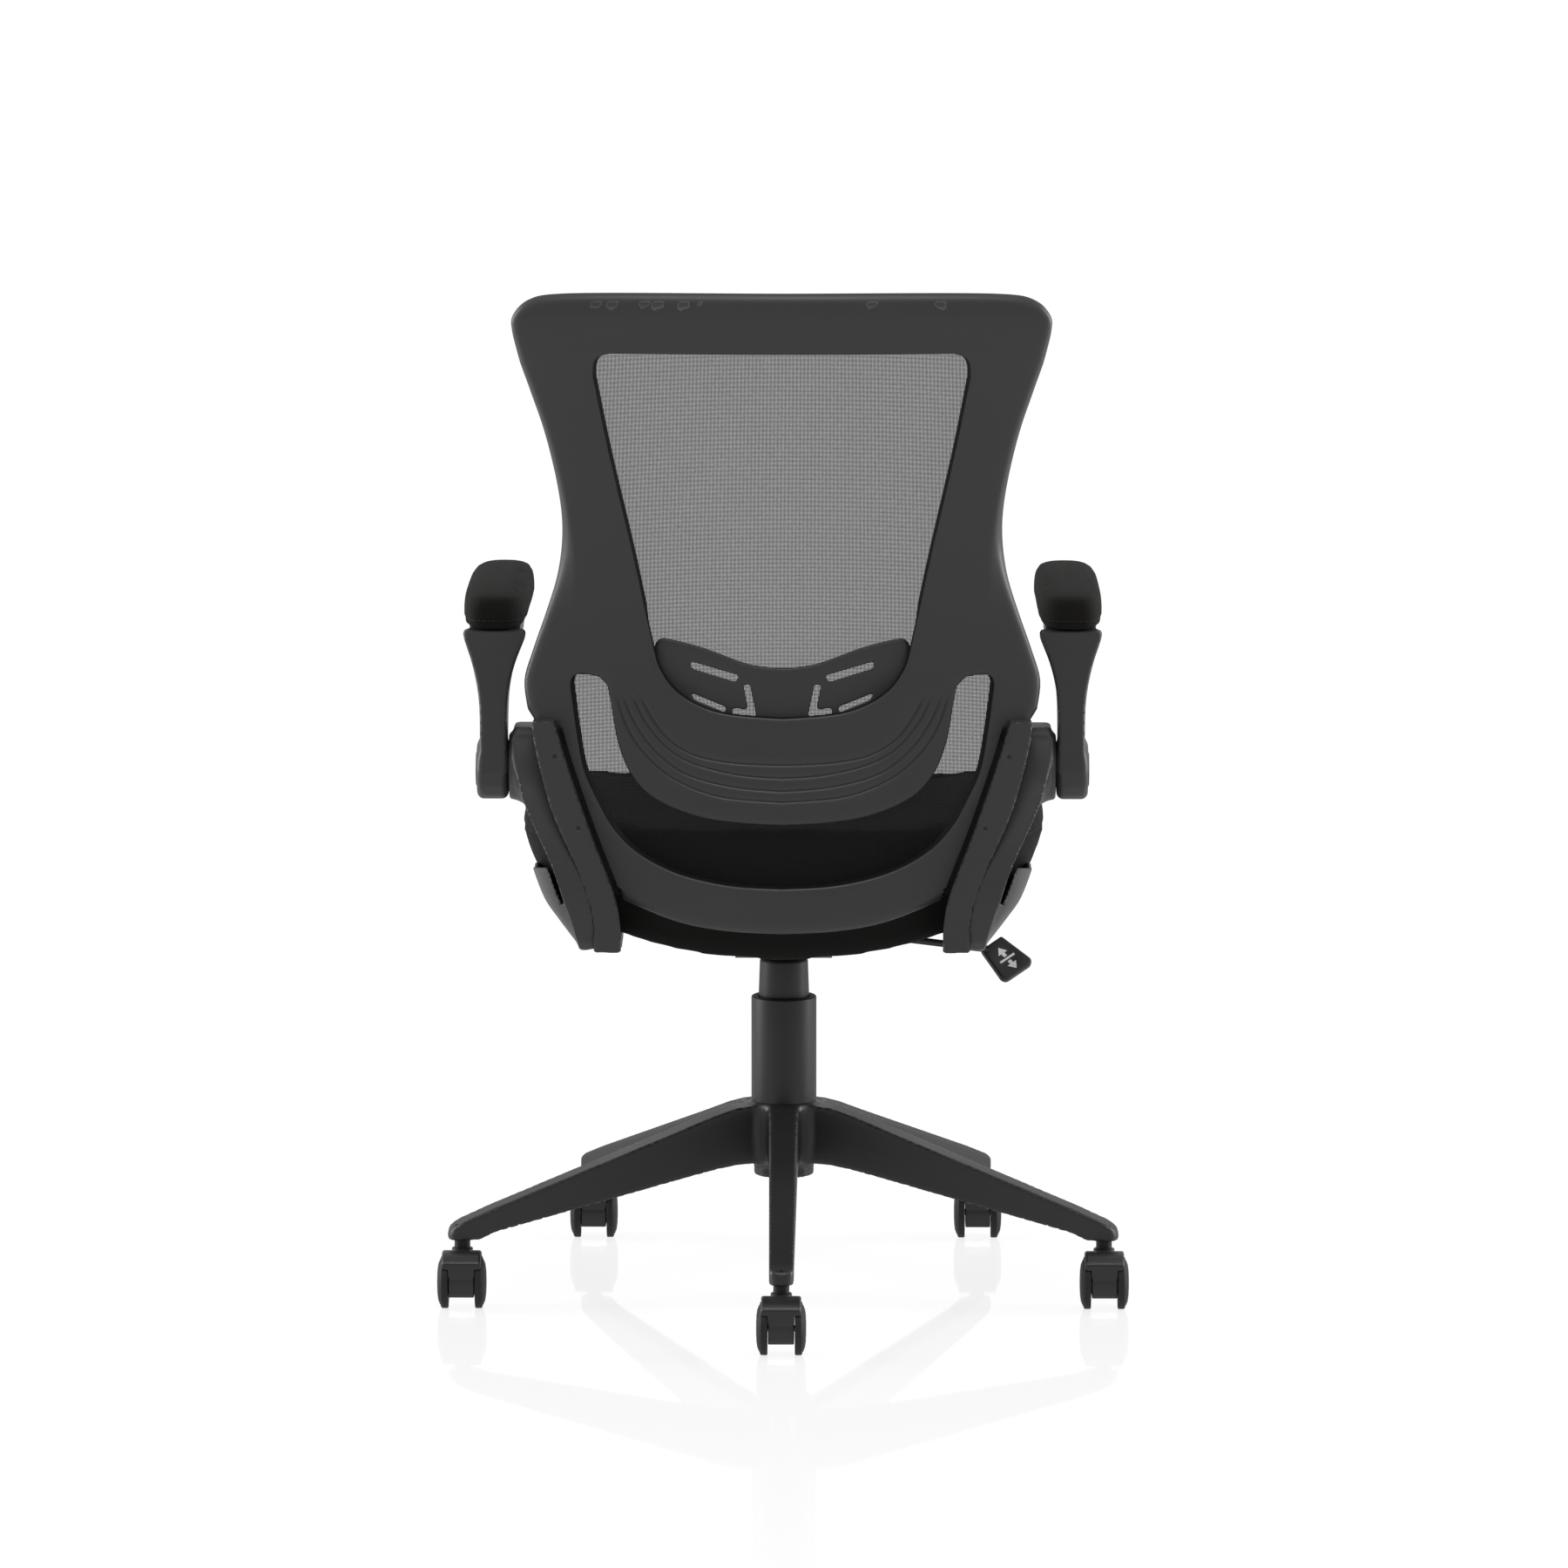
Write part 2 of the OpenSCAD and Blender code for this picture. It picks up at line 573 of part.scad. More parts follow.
// Outer skin of the wing that hugs the cushion's flank, as (x, z)
wing_line = smooth([[186, 354], [194, 357], [205, 368], [218, 385], [228, 400], [236, 417]], 2);
wing_end = 225;             // rear end of the wing, closed by a plate that joins it to the limb
wing_closing = concat([for (q = outer_line) if (q[1] < 418) q - [8, 0]], wing_line);

module arm_bracket() color(c_frame) difference() {
    union() {
        cyl_x(boss_r, 226, 255, pivot_y, arm_pivot_z);
        intersection() {
            side_plate([[152, 525], [152, 560], [158, 567], [192, 567], [198, 560], [198, 525]], 229, 253);
            standing_plate([[229, 525], [253, 525], [253, 556], [247, 567], [229, 567]], 140, 210);
        }
        intersection() {
            side_plate(limb_side, 100, 260);
            standing_plate(concat(seam_line, reversed(outer_line), [[243, 567]]), 0, 300);
        }
        block(152, 188, -90, foot_split, foot_z, board_z);
        side_plate(foot_taper, 175.5, 188);
        standing_plate(concat(wing_line, reversed([for (q = wing_line) q + [-2.6, 2.6]])), 20, wing_end);
        standing_plate(wing_closing, wing_end - 3, wing_end + 2);
        block(184, 190, 20, 140, foot_z, 360);
    }
    cyl_x(pivot_pin_r, 200, 260, pivot_y, arm_pivot_z);
    cyl_x(8.5, 210, 223.2, pivot_y, arm_pivot_z);
    for (q = foot_bolts) translate([q[0], q[1], 340]) cylinder(r = 3.3, h = 40);
}
module arm_bracket_left() arm_bracket();
module arm_bracket_right() mirror([1, 0, 0]) arm_bracket();

module bracket_bolts() color(c_steel) both_sides() for (q = foot_bolts) translate([q[0], q[1], 0]) {
    translate([0, 0, foot_z - 4]) cylinder(r = 6, h = 4);
    translate([0, 0, foot_z - 4]) cylinder(r = 3, h = board_top - foot_z + 4);
}

// Flat blade on the bracket's inner edge: carries the back frame, bolted under the seat with the bracket
module back_upright() color(c_frame) difference() {
    union() {
        intersection() {
            back_slab(-0.2, -20);
            standing_plate(concat(inner_line, reversed(seam_line)), 0, 300);
        }
        side_plate(upright_foot, 151, 173);
    }
    for (z = upright_screw_z) cyl_y(2.5, 100, 400, upright_screw_x(z), z);
    for (q = foot_bolts) translate([q[0], q[1], 340]) cylinder(r = 3.3, h = 40);
}
module back_upright_left() back_upright();
module back_upright_right() mirror([1, 0, 0]) back_upright();

module back_frame_screws() color(c_steel) both_sides() for (z = upright_screw_z)
    cyl_y(2.4, upright_screw_y(z)[0], upright_screw_y(z)[1], upright_screw_x(z), z);

// ---------- Arms ----------

pivot_pin_r = 6;
arm_in = 256;
arm_out = 285.5;
stem_out = 282.5;
cap_in = 283;               // floor of the recess for the pivot cap

module arm_pivot_pins() color(c_steel) both_sides() {
    cyl_x(pivot_pin_r, 220, stem_out, pivot_y, arm_pivot_z);
    cyl_x(8, 218, 223, pivot_y, arm_pivot_z);
}

// Side view of the stem, as (y, z): vertical behind, sweeping forwards under the pad
arm_side = concat(
    smooth([[203, 525], [199, 560], [189, 600], [181, 640], [176, 657]], 2),
    [[-60, 659], [-66, 655], [-60, 649]],
    smooth([[30, 644], [85, 634], [121, 612], [141, 580], [149, 550], [147, 525]], 2));

module arm() color(c_frame) difference() {
    union() {
        cyl_x(boss_r, arm_in, arm_out, pivot_y, arm_pivot_z);
        side_plate(arm_side, arm_in + 1, stem_out);
        intersection() {
            side_plate(arm_side, 230, 310);
            standing_plate([[257, 590], [282, 590], [289, 622], [297, 648], [298, 670], [241, 670], [243, 648],
                [252, 624]], -80, 190);
        }
    }
    cyl_x(pivot_pin_r + fit, 200, cap_in, pivot_y, arm_pivot_z);
    cyl_x(16, cap_in, 300, pivot_y, arm_pivot_z);
}
module arm_left() arm();
module arm_right() mirror([1, 0, 0]) arm();

// Rounded pad on the arm, drooping at its rear end
pad_rings = [[0.86, 0], [0.97, 5], [1, 13], [0.97, 21], [0.86, 26.5], [0.6, 28.5], [0.2, 29]];
function pad_base(y) = 657 + 3 * (pivot_y - y) / pad_l + 3.5 * sin(180 * min(1, (pivot_y - y) / pad_l));
module arm_pad() color(c_pad) translate([269, 0, 0])
    ring_solid([for (q = pad_rings) [for (p = squircle(30 * q[0], pad_l / 2 - 30 * (1 - q[0]), 3.6, 48))
        let (y = p[1] + pivot_y - pad_l / 2) [p[0], y, pad_base(y) + q[1] + 1]]]);
module arm_pad_left() arm_pad();
module arm_pad_right() mirror([1, 0, 0]) arm_pad();

module arm_pivot_cap() color(c_frame) cyl_x(15.9, cap_in, arm_out + 0.8, pivot_y, arm_pivot_z);
module arm_pivot_cap_left() arm_pivot_cap();
module arm_pivot_cap_right() mirror([1, 0, 0]) arm_pivot_cap();

// ---------- Drawing ----------

star_base();
castor_stems();
column_tube();
column_bush();
column_cover();
thrust_bearing();
piston_rod();
rod_clip();
gas_cylinder();
release_button();
mechanism_housing();
tilt_axle();
tilt_spring();
tension_bolt();
tension_knob();
tilt_lock_slider();
height_lever();
lever_paddle();
seat_plate();
seat_plate_bolts();
seat_board();
seat_cushion();
seat_underside_cover();
arm_bracket_left();
arm_bracket_right();
bracket_bolts();
back_upright_left();
back_upright_right();
back_frame();
back_frame_screws();
mesh_rim();
back_mesh();
lumbar_support();
arm_pivot_pins();
arm_left();
arm_right();
arm_pad_left();
arm_pad_right();
arm_pivot_cap_left();
arm_pivot_cap_right();
for (i = [1:legs]) {
    castor_housing(i);
    castor_axle(i);
    castor_wheel(i, 1);
    castor_wheel(i, -1);
}
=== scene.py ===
"""Swivel office chair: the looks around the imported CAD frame.

Metres everywhere, floor at z = 0, column axis at x = y = 0, the sitter faces -Y and the back is at +Y.
Shape data are in millimetres and go through MM once, where a mesh is made.
"""

import itertools
import json
import math

import bpy
import numpy as np
from mathutils import Euler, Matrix, Vector, bvhtree, geometry, kdtree


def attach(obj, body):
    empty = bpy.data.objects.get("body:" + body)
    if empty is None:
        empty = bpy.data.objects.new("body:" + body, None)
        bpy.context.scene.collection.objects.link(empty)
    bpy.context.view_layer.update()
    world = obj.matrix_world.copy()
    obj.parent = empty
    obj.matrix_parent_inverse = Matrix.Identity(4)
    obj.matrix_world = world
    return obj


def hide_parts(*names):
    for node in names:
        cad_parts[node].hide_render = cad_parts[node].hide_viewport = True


MM = 0.001
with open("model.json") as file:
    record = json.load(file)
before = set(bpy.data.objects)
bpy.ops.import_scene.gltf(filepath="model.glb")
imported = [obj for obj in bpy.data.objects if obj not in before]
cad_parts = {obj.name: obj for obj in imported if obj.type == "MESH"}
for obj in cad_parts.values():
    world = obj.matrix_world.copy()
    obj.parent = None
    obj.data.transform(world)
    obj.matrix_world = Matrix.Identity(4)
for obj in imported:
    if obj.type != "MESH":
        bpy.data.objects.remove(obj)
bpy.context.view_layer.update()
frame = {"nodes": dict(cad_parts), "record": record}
nodes = frame["nodes"]


# ---------------------------------------------------------------- curves and outlines


def smooth(points, steps):
    """Catmull-Rom curve through a list of points, with a number of steps to a span."""
    p = np.array(points, float)
    last = len(p) - 1
    out = []
    for i in range(last):
        a, b, c, d = p[max(i - 1, 0)], p[i], p[i + 1], p[min(i + 2, last)]
        for k in range(steps):
            t = k / steps
            bend, twist = 2 * a - 5 * b + 4 * c - d, 3 * b - a - 3 * c + d
            out.append(0.5 * (2 * b + (c - a) * t + bend * t**2 + twist * t**3))
    return np.array(out + [p[last]])


def resample(loop, gap, closed=True):
    """Points along a polyline at about even spacing."""
    loop = np.array(loop, float)
    if closed:
        loop = np.concatenate([loop, loop[:1]])
    length = np.concatenate([[0], np.cumsum(np.linalg.norm(np.diff(loop, axis=0), axis=1))])
    count = max(int(round(length[-1] / gap)), 3)
    at = np.linspace(0, length[-1], count + 1)
    out = np.stack([np.interp(at, length, loop[:, k]) for k in range(loop.shape[1])], 1)
    return out[:-1] if closed else out


def anticlockwise(loop):
    x, y = loop[:, 0], loop[:, 1]
    return loop if np.sum(x * np.roll(y, -1) - y * np.roll(x, -1)) > 0 else loop[::-1]


def in_polygon(points, loop):
    """True where a 2D point lies inside a closed outline."""
    x, y = points[:, 0], points[:, 1]
    inside = np.zeros(len(points), bool)
    for a, b in zip(loop, np.roll(loop, -1, axis=0)):
        if a[1] == b[1]:
            continue
        crosses = (a[1] > y) != (b[1] > y)
        inside ^= crosses & (x < (b[0] - a[0]) * (y - a[1]) / (b[1] - a[1]) + a[0])
    return inside


def line_distance(points, line, closed=False):
    """Distance from 2D points to a polyline."""
    ends = np.roll(line, -1, axis=0) if closed else line[1:]
    starts = line if closed else line[:-1]
    best = np.full(len(points), np.inf)
    for a, b in zip(starts, ends):
        ab = b - a
        size = ab @ ab
        if size == 0:
            continue
        t = np.clip(((points - a) @ ab) / size, 0, 1)
        gap = points - a - t[:, None] * ab
        np.minimum(best, np.einsum("ij,ij->i", gap, gap), out=best)
    return np.sqrt(best)


def outline_distance(points, loop):
    """Signed distance to a closed 2D outline, negative inside."""
    return np.where(in_polygon(points, loop), -1, 1) * line_distance(points, loop, True)


def step(x, low, high):
    """Smooth step from 0 to 1."""
    t = np.clip((x - low) / (high - low), 0, 1)
    return t * t * (3 - 2 * t)


# ---------------------------------------------------------------- signed distance modelling


def smooth_min(a, b, k):
    h = np.clip(0.5 + 0.5 * (b - a) / k, 0, 1)
    return b * (1 - h) + a * h - k * h * (1 - h)


def smooth_max(a, b, k):
    return -smooth_min(-a, -b, k)


def sd_capsule(p, a, b, ra, rb):
    """Cone with round ends between two points."""
    a, b = np.array(a, float), np.array(b, float)
    ab = b - a
    t = np.clip(((p - a) @ ab) / (ab @ ab), 0, 1)
    return np.linalg.norm(p - a - t[:, None] * ab, axis=1) - (ra + (rb - ra) * t)


def sd_box(p, low, high, r):
    """Box with rounded edges."""
    low, high = np.array(low, float), np.array(high, float)
    q = np.abs(p - (low + high) / 2) - (high - low) / 2 + r
    return np.linalg.norm(np.maximum(q, 0), axis=1) + np.minimum(q.max(1), 0) - r


def sd_cylinder(p, axis, centre, low, high, radius, r):
    """Cylinder along an axis (0, 1 or 2) with rounded rims. centre gives the other two coordinates."""
    others = [k for k in range(3) if k != axis]
    radial = np.hypot(p[:, others[0]] - centre[0], p[:, others[1]] - centre[1]) - radius + r
    along = np.abs(p[:, axis] - (low + high) / 2) - (high - low) / 2 + r
    outside = np.hypot(np.maximum(radial, 0), np.maximum(along, 0))
    return outside + np.minimum(np.maximum(radial, along), 0) - r


def both(a, b, r):
    """Where two shapes overlap, with their shared edge rounded to radius r. a and b are distances."""
    a, b = a + r, b + r
    return np.hypot(np.maximum(a, 0), np.maximum(b, 0)) + np.minimum(np.maximum(a, b), 0) - r


def slab(values, low, high):
    """Distance to the space between two parallel planes."""
    return np.abs(values - (low + high) / 2) - (high - low) / 2


def prism(p, axis, loop, low, high, r):
    """Outline extruded along an axis, with its edges rounded."""
    others = [k for k in range(3) if k != axis]
    return both(outline_distance(p[:, others], loop), slab(p[:, axis], low, high), r)


def sdf_mesh(sdf, low, high, pitch, relax=2):
    """Quads on the zero surface of a distance function: surface nets on a grid, then each corner is pulled onto the
    surface. A coarse grid first finds where the fine one is needed."""
    axes = [np.arange(a, b + pitch, pitch) for a, b in zip(low, high)]
    shape = tuple(len(a) for a in axes)
    coarse, reach, batch = 4, 1.9, 400000
    pads = [np.append(a[::coarse], a[::coarse][-1] + coarse * pitch) for a in axes]
    rough = sdf(np.stack(np.meshgrid(*pads, indexing="ij"), -1).reshape(-1, 3)).reshape([len(a) for a in pads])
    near = np.abs(rough) < reach * coarse * pitch
    index = np.stack(np.meshgrid(*[np.arange(n) for n in shape], indexing="ij"), -1)
    cell = (index + coarse // 2) // coarse
    field = rough[cell[..., 0], cell[..., 1], cell[..., 2]].copy()
    fine = near[cell[..., 0], cell[..., 1], cell[..., 2]]
    places = np.argwhere(fine)
    at = np.stack([axes[k][places[:, k]] for k in range(3)], 1)
    field[fine] = np.concatenate([sdf(at[i : i + batch]) for i in range(0, len(at), batch)])
    inside = field < 0
    corners = np.array(list(itertools.product((0, 1), repeat=3)))
    nx, ny, nz = (n - 1 for n in shape)
    count = sum(inside[i : nx + i, j : ny + j, k : nz + k].astype(np.int8) for i, j, k in corners)
    active = (count > 0) & (count < 8)
    number = np.full(active.shape, -1)
    cells = np.argwhere(active)
    number[active] = np.arange(len(cells))
    total, hits = np.zeros((len(cells), 3)), np.zeros(len(cells))
    for a, b in itertools.combinations(corners, 2):
        if np.abs(a - b).sum() != 1:
            continue
        da, db = field[tuple((cells + a).T)], field[tuple((cells + b).T)]
        cross = (da < 0) != (db < 0)
        t = np.where(cross, da / np.where(da == db, 1, da - db), 0)
        total += np.where(cross[:, None], a + t[:, None] * (b - a), 0)
        hits += cross
    verts = np.array([a[0] for a in axes]) + pitch * (cells + total / hits[:, None])
    faces = []
    for axis in range(3):
        u, v = (axis + 1) % 3, (axis + 2) % 3
        here = [slice(None)] * 3
        there = [slice(None)] * 3
        here[axis], there[axis] = slice(0, -1), slice(1, None)
        a, b = inside[tuple(here)], inside[tuple(there)]
        for flag, order in ((a & ~b, 1), (b & ~a, -1)):
            g = np.argwhere(flag)
            g = g[(g[:, u] > 0) & (g[:, v] > 0) & (g[:, u] < shape[u] - 1) & (g[:, v] < shape[v] - 1)]
            du, dv = np.eye(3, dtype=int)[u], np.eye(3, dtype=int)[v]
            ring = [g - du - dv, g - dv, g, g - du]
            quad = np.stack([number[tuple(c.T)] for c in ring], 1)
            faces.append(quad[:, ::order])
    faces = np.concatenate(faces)

    def project(v, rounds):
        h, flattest = 0.05, 0.25
        for _ in range(rounds):
            d = sdf(v)
            grad = np.stack([sdf(v + h * np.eye(3)[k]) - sdf(v - h * np.eye(3)[k]) for k in range(3)], 1) / (2 * h)
            size = np.maximum(np.einsum("ij,ij->i", grad, grad), flattest)
            move = (d / size)[:, None] * grad
            far = np.maximum(np.linalg.norm(move, axis=1) / pitch, 1)
            v = v - move / far[:, None]
        return v

    verts = project(verts, 2)
    edges = np.concatenate([faces[:, [k, (k + 1) % 4]] for k in range(4)])
    degree = np.bincount(edges.ravel(), minlength=len(verts)).astype(float)
    for _ in range(relax):
        near_sum = np.stack([np.bincount(edges[:, 0], verts[edges[:, 1], k], len(verts))
                             + np.bincount(edges[:, 1], verts[edges[:, 0], k], len(verts)) for k in range(3)], 1)
        verts = project(verts + 0.5 * (near_sum / degree[:, None] - verts), 1)
    return verts, faces


# ---------------------------------------------------------------- meshes


def make(name, verts, faces, material, body, crease=35):
    """Mesh object from points in millimetres, smooth shaded apart from edges sharper than crease degrees."""
    mesh = bpy.data.meshes.new(name)
    mesh.from_pydata((np.asarray(verts) * MM).tolist(), [], [list(map(int, f)) for f in faces])
    mesh.validate()
    mesh.shade_smooth()
    if crease:
        mesh.set_sharp_from_angle(angle=math.radians(crease))
    piece = bpy.data.objects.new(name, mesh)
    bpy.context.scene.collection.objects.link(piece)
    mesh.materials.append(material)
    if body:
        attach(piece, body)
    return piece


def fitted(name, shape, material, body, node, crease=35):
    """Piece that stands in for a CAD node, from its points and faces."""
    piece = make(name, *shape, material, body, crease)
    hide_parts(node)
    return piece


def join_meshes(parts):
    """One list of points and faces from several."""
    verts, faces, start = [], [], 0
    for v, f in parts:
        verts.append(np.asarray(v, float))
        faces += [[int(i) + start for i in face] for face in f]
        start += len(v)
    return np.concatenate(verts), faces


def flipped(verts, faces):
    """Mirror image across x = 0."""
    return np.asarray(verts) * [-1, 1, 1], [list(f)[::-1] for f in faces]


def both_sides(verts, faces):
    """A left-hand shape and its mirror image, each with its side's name."""
    return ("left", (verts, faces)), ("right", flipped(verts, faces))


def lathe(profile, steps=96):
    """Surface turned about the z axis from a closed profile of (radius, z), anticlockwise in that plane."""
    profile = np.array(profile, float)
    turn = np.linspace(0, 2 * math.pi, steps, endpoint=False)
    radius, height = profile[:, 0], np.repeat(profile[:, 1:2], steps, 1)
    verts = np.stack([np.outer(radius, np.cos(turn)), np.outer(radius, np.sin(turn)), height], -1).reshape(-1, 3)
    n = len(profile)
    faces = []
    for i in range(n):
        j = (i + 1) % n
        if profile[i, 0] < 1e-9 and profile[j, 0] < 1e-9:
            continue
        for k in range(steps):
            m = (k + 1) % steps
            faces.append([i * steps + k, i * steps + m, j * steps + m, j * steps + k])
    return verts, faces


def rounded(profile, radius, steps=4):
    """Closed 2D profile with its corners rounded. radius is one number or one for each corner."""
    p = np.array(profile, float)
    n = len(p)
    radii = [radius] * n if np.isscalar(radius) else list(radius)
    out = []
    for i in range(n):
        a, b, c = p[i - 1], p[i], p[(i + 1) % n]
        u, v = a - b, c - b
        lu, lv = np.linalg.norm(u), np.linalg.norm(v)
        u, v = u / lu, v / lv
        angle = math.acos(np.clip(u @ v, -1, 1))
        if radii[i] <= 0 or angle > math.pi - 0.02:
            out.append(b)
            continue
        cut = min(radii[i] / math.tan(angle / 2), 0.45 * lu, 0.45 * lv)
        r = cut * math.tan(angle / 2)
        bis = (u + v) / np.linalg.norm(u + v)
        centre = b + bis * r / math.sin(angle / 2)
        s, e = b + u * cut - centre, b + v * cut - centre
        sweep = math.atan2(s[0] * e[1] - s[1] * e[0], s @ e)
        for k in range(steps + 1):
            t = sweep * k / steps
            rot = np.array([[math.cos(t), -math.sin(t)], [math.sin(t), math.cos(t)]])
            out.append(centre + rot @ s)
    return np.array(out)


def tube(path, radii, sides):
    """Round tube along a path, with a radius for each point."""
    path = np.array(path, float)
    n = len(path)
    tangent = np.gradient(path, axis=0)
    tangent /= np.linalg.norm(tangent, axis=1)[:, None]
    side = np.cross(tangent[0], [0.0, 0.0, 1.0])
    if np.linalg.norm(side) < 0.1:
        side = np.cross(tangent[0], [1.0, 0.0, 0.0])
    rings = []
    turn = np.linspace(0, 2 * math.pi, sides, endpoint=False)
    for i in range(n):
        side = side - (side @ tangent[i]) * tangent[i]
        side /= np.linalg.norm(side)
        up = np.cross(tangent[i], side)
        rings.append(path[i] + radii[i] * (np.outer(np.cos(turn), side) + np.outer(np.sin(turn), up)))
    verts = np.concatenate(rings)
    faces = []
    for i in range(n - 1):
        for k in range(sides):
            m = (k + 1) % sides
            faces.append([i * sides + k, i * sides + m, (i + 1) * sides + m, (i + 1) * sides + k])
    faces.append(list(range(sides))[::-1])
    faces.append([(n - 1) * sides + k for k in range(sides)])
    return verts, faces


# ---------------------------------------------------------------- materials


class Nodes:
    """A node tree, with short calls that make and link its nodes."""

    def __init__(self, owner):
        owner.use_nodes = True
        self.tree = owner.node_tree

    def add(self, kind, inputs=None, **settings):
        node = self.tree.nodes.new(kind)
        for key, value in settings.items():
            setattr(node, key, value)
        for key, value in (inputs or {}).items():
            self.put(node.inputs[key], value)
        return node

    def put(self, socket, value):
        if isinstance(value, bpy.types.NodeSocket):
            self.tree.links.new(value, socket)
        else:
            socket.default_value = value

    def math(self, operation, a, b=0.0, c=0.0, clamp=False):
        node = self.add("ShaderNodeMath", operation=operation, use_clamp=clamp)
        for socket, value in zip(node.inputs, (a, b, c)):
            self.put(socket, value)
        return node.outputs[0]

    def place(self):
        """Coordinates fixed to the piece, in metres."""
        return self.add("ShaderNodeTexCoord").outputs["Object"]

    def xyz(self):
        split = self.add("ShaderNodeSeparateXYZ", {"Vector": self.place()})
        return split.outputs["X"], split.outputs["Y"], split.outputs["Z"]

    def noise(self, scale, detail=3.0, roughness=0.5, vector=None):
        settings = {"Vector": vector or self.place(), "Scale": scale, "Detail": detail, "Roughness": roughness}
        return self.add("ShaderNodeTexNoise", settings).outputs["Fac"]

    def ramp(self, value, low, high, out_low, out_high):
        settings = {"Value": value, "From Min": low, "From Max": high, "To Min": out_low, "To Max": out_high}
        return self.add("ShaderNodeMapRange", settings).outputs["Result"]

    def mix(self, factor, a, b):
        node = self.add("ShaderNodeMix", data_type="RGBA")
        self.put(node.inputs[0], factor)
        self.put(node.inputs[6], a)
        self.put(node.inputs[7], b)
        return node.outputs[2]

    def blend(self, factor, a, b):
        node = self.add("ShaderNodeMixShader", {"Fac": factor})
        self.put(node.inputs[1], a)
        self.put(node.inputs[2], b)
        return node.outputs[0]


class Material(Nodes):
    """A new material's node tree, with calls that set its main shader."""

    def __init__(self, name):
        self.material = bpy.data.materials.new(name)
        super().__init__(self.material)
        self.shader = self.tree.nodes["Principled BSDF"]

    def bump(self, height, distance, strength=1.0):
        node = self.add("ShaderNodeBump", {"Height": height, "Distance": distance, "Strength": strength})
        self.put(self.shader.inputs["Normal"], node.outputs["Normal"])

    def surface(self, shader):
        self.put(self.tree.nodes["Material Output"].inputs["Surface"], shader)

    def set(self, **values):
        for key, value in values.items():
            self.put(self.shader.inputs[key.replace("_", " ")], value)


WHITE = (1, 1, 1, 1)


def grey(value, warm=0.0):
    return (value * (1 + warm), value, value * (1 - warm), 1)


def plastic(name, shade, rough, warm=0.0, grain=0.00004, gloss=0.5):
    """Moulded plastic: a fine spark-eroded grain, slow changes of gloss, and edges rubbed a little paler."""
    n = Material(name)
    slow = n.noise(9, 4)
    fine = n.noise(1400, 2)
    scuff = n.ramp(n.noise(60, 6, 0.65), 0.62, 0.78, 0, 1)
    edge = n.add("ShaderNodeNewGeometry").outputs["Pointiness"]
    worn = n.ramp(edge, 0.55, 0.66, 0, 0.5)
    base = n.mix(slow, grey(shade * 0.93, warm), grey(shade * 1.07, warm))
    base = n.mix(n.math("MULTIPLY", worn, scuff, clamp=True), base, grey(shade * 1.3, warm))
    n.set(Base_Color=base, Specular_IOR_Level=gloss)
    n.set(Roughness=n.math("ADD", n.ramp(slow, 0.3, 0.7, rough - 0.05, rough + 0.05), n.ramp(scuff, 0, 1, 0, 0.05)))
    n.bump(n.math("ADD", fine, n.math("MULTIPLY", scuff, 0.15)), grain)
    return n.material


def metal(name, shade, rough, grain=500, brushed=True, metallic=1.0):
    """Steel with a drawn or ground grain and a thin film of handling marks."""
    n = Material(name)
    stretch = n.add("ShaderNodeMapping", {"Vector": n.place(), "Scale": (1, 1, 0.06 if brushed else 1)})
    streak = n.noise(grain, 4, 0.6, stretch.outputs[0])
    marks = n.noise(40, 5, 0.6)
    n.set(Metallic=metallic, Base_Color=n.mix(marks, grey(shade * 0.86), grey(shade * 1.08)))
    n.set(Roughness=n.ramp(n.math("ADD", streak, marks), 0.7, 1.3, rough - 0.07, rough + 0.08))
    n.bump(streak, 0.00003)
    return n.material


def woven(name, shade, warm, pitch, sheen=0.35, rough=0.92, gloss=0.12):
    """Closely woven polyester: over-and-under yarns, fuzzy sheen, melange colour and slight shading of wear."""
    n = Material(name)
    x, y, z = n.xyz()
    wave = 2 * math.pi / pitch
    warp = n.math("SINE", n.math("MULTIPLY", x, wave))
    slant = n.math("ADD", y, n.math("MULTIPLY", z, 0.8))
    weft = n.math("SINE", n.math("MULTIPLY", slant, wave))
    cross = n.math("MULTIPLY", warp, weft)
    twist = n.noise(1 / pitch * 1.7, 3, 0.6)
    yarn = n.math("ADD", n.math("MULTIPLY", cross, 0.5), n.math("MULTIPLY", twist, 0.7))
    slow = n.noise(7, 4)
    tone = n.math("MULTIPLY", n.ramp(yarn, -0.4, 1.0, 0.72, 1.22), n.ramp(slow, 0.3, 0.7, 0.9, 1.12))
    dark, pale = grey(shade * 0.6, warm), grey(shade * 1.4, warm)
    n.set(Base_Color=n.mix(n.ramp(tone, 0.6, 1.4, 0, 1), dark, pale))
    n.set(Roughness=n.ramp(yarn, -0.5, 1.0, rough, rough - 0.12), Specular_IOR_Level=gloss)
    n.set(Sheen_Weight=sheen, Sheen_Roughness=0.5)
    n.bump(yarn, 0.00035, 0.7)
    return n.material


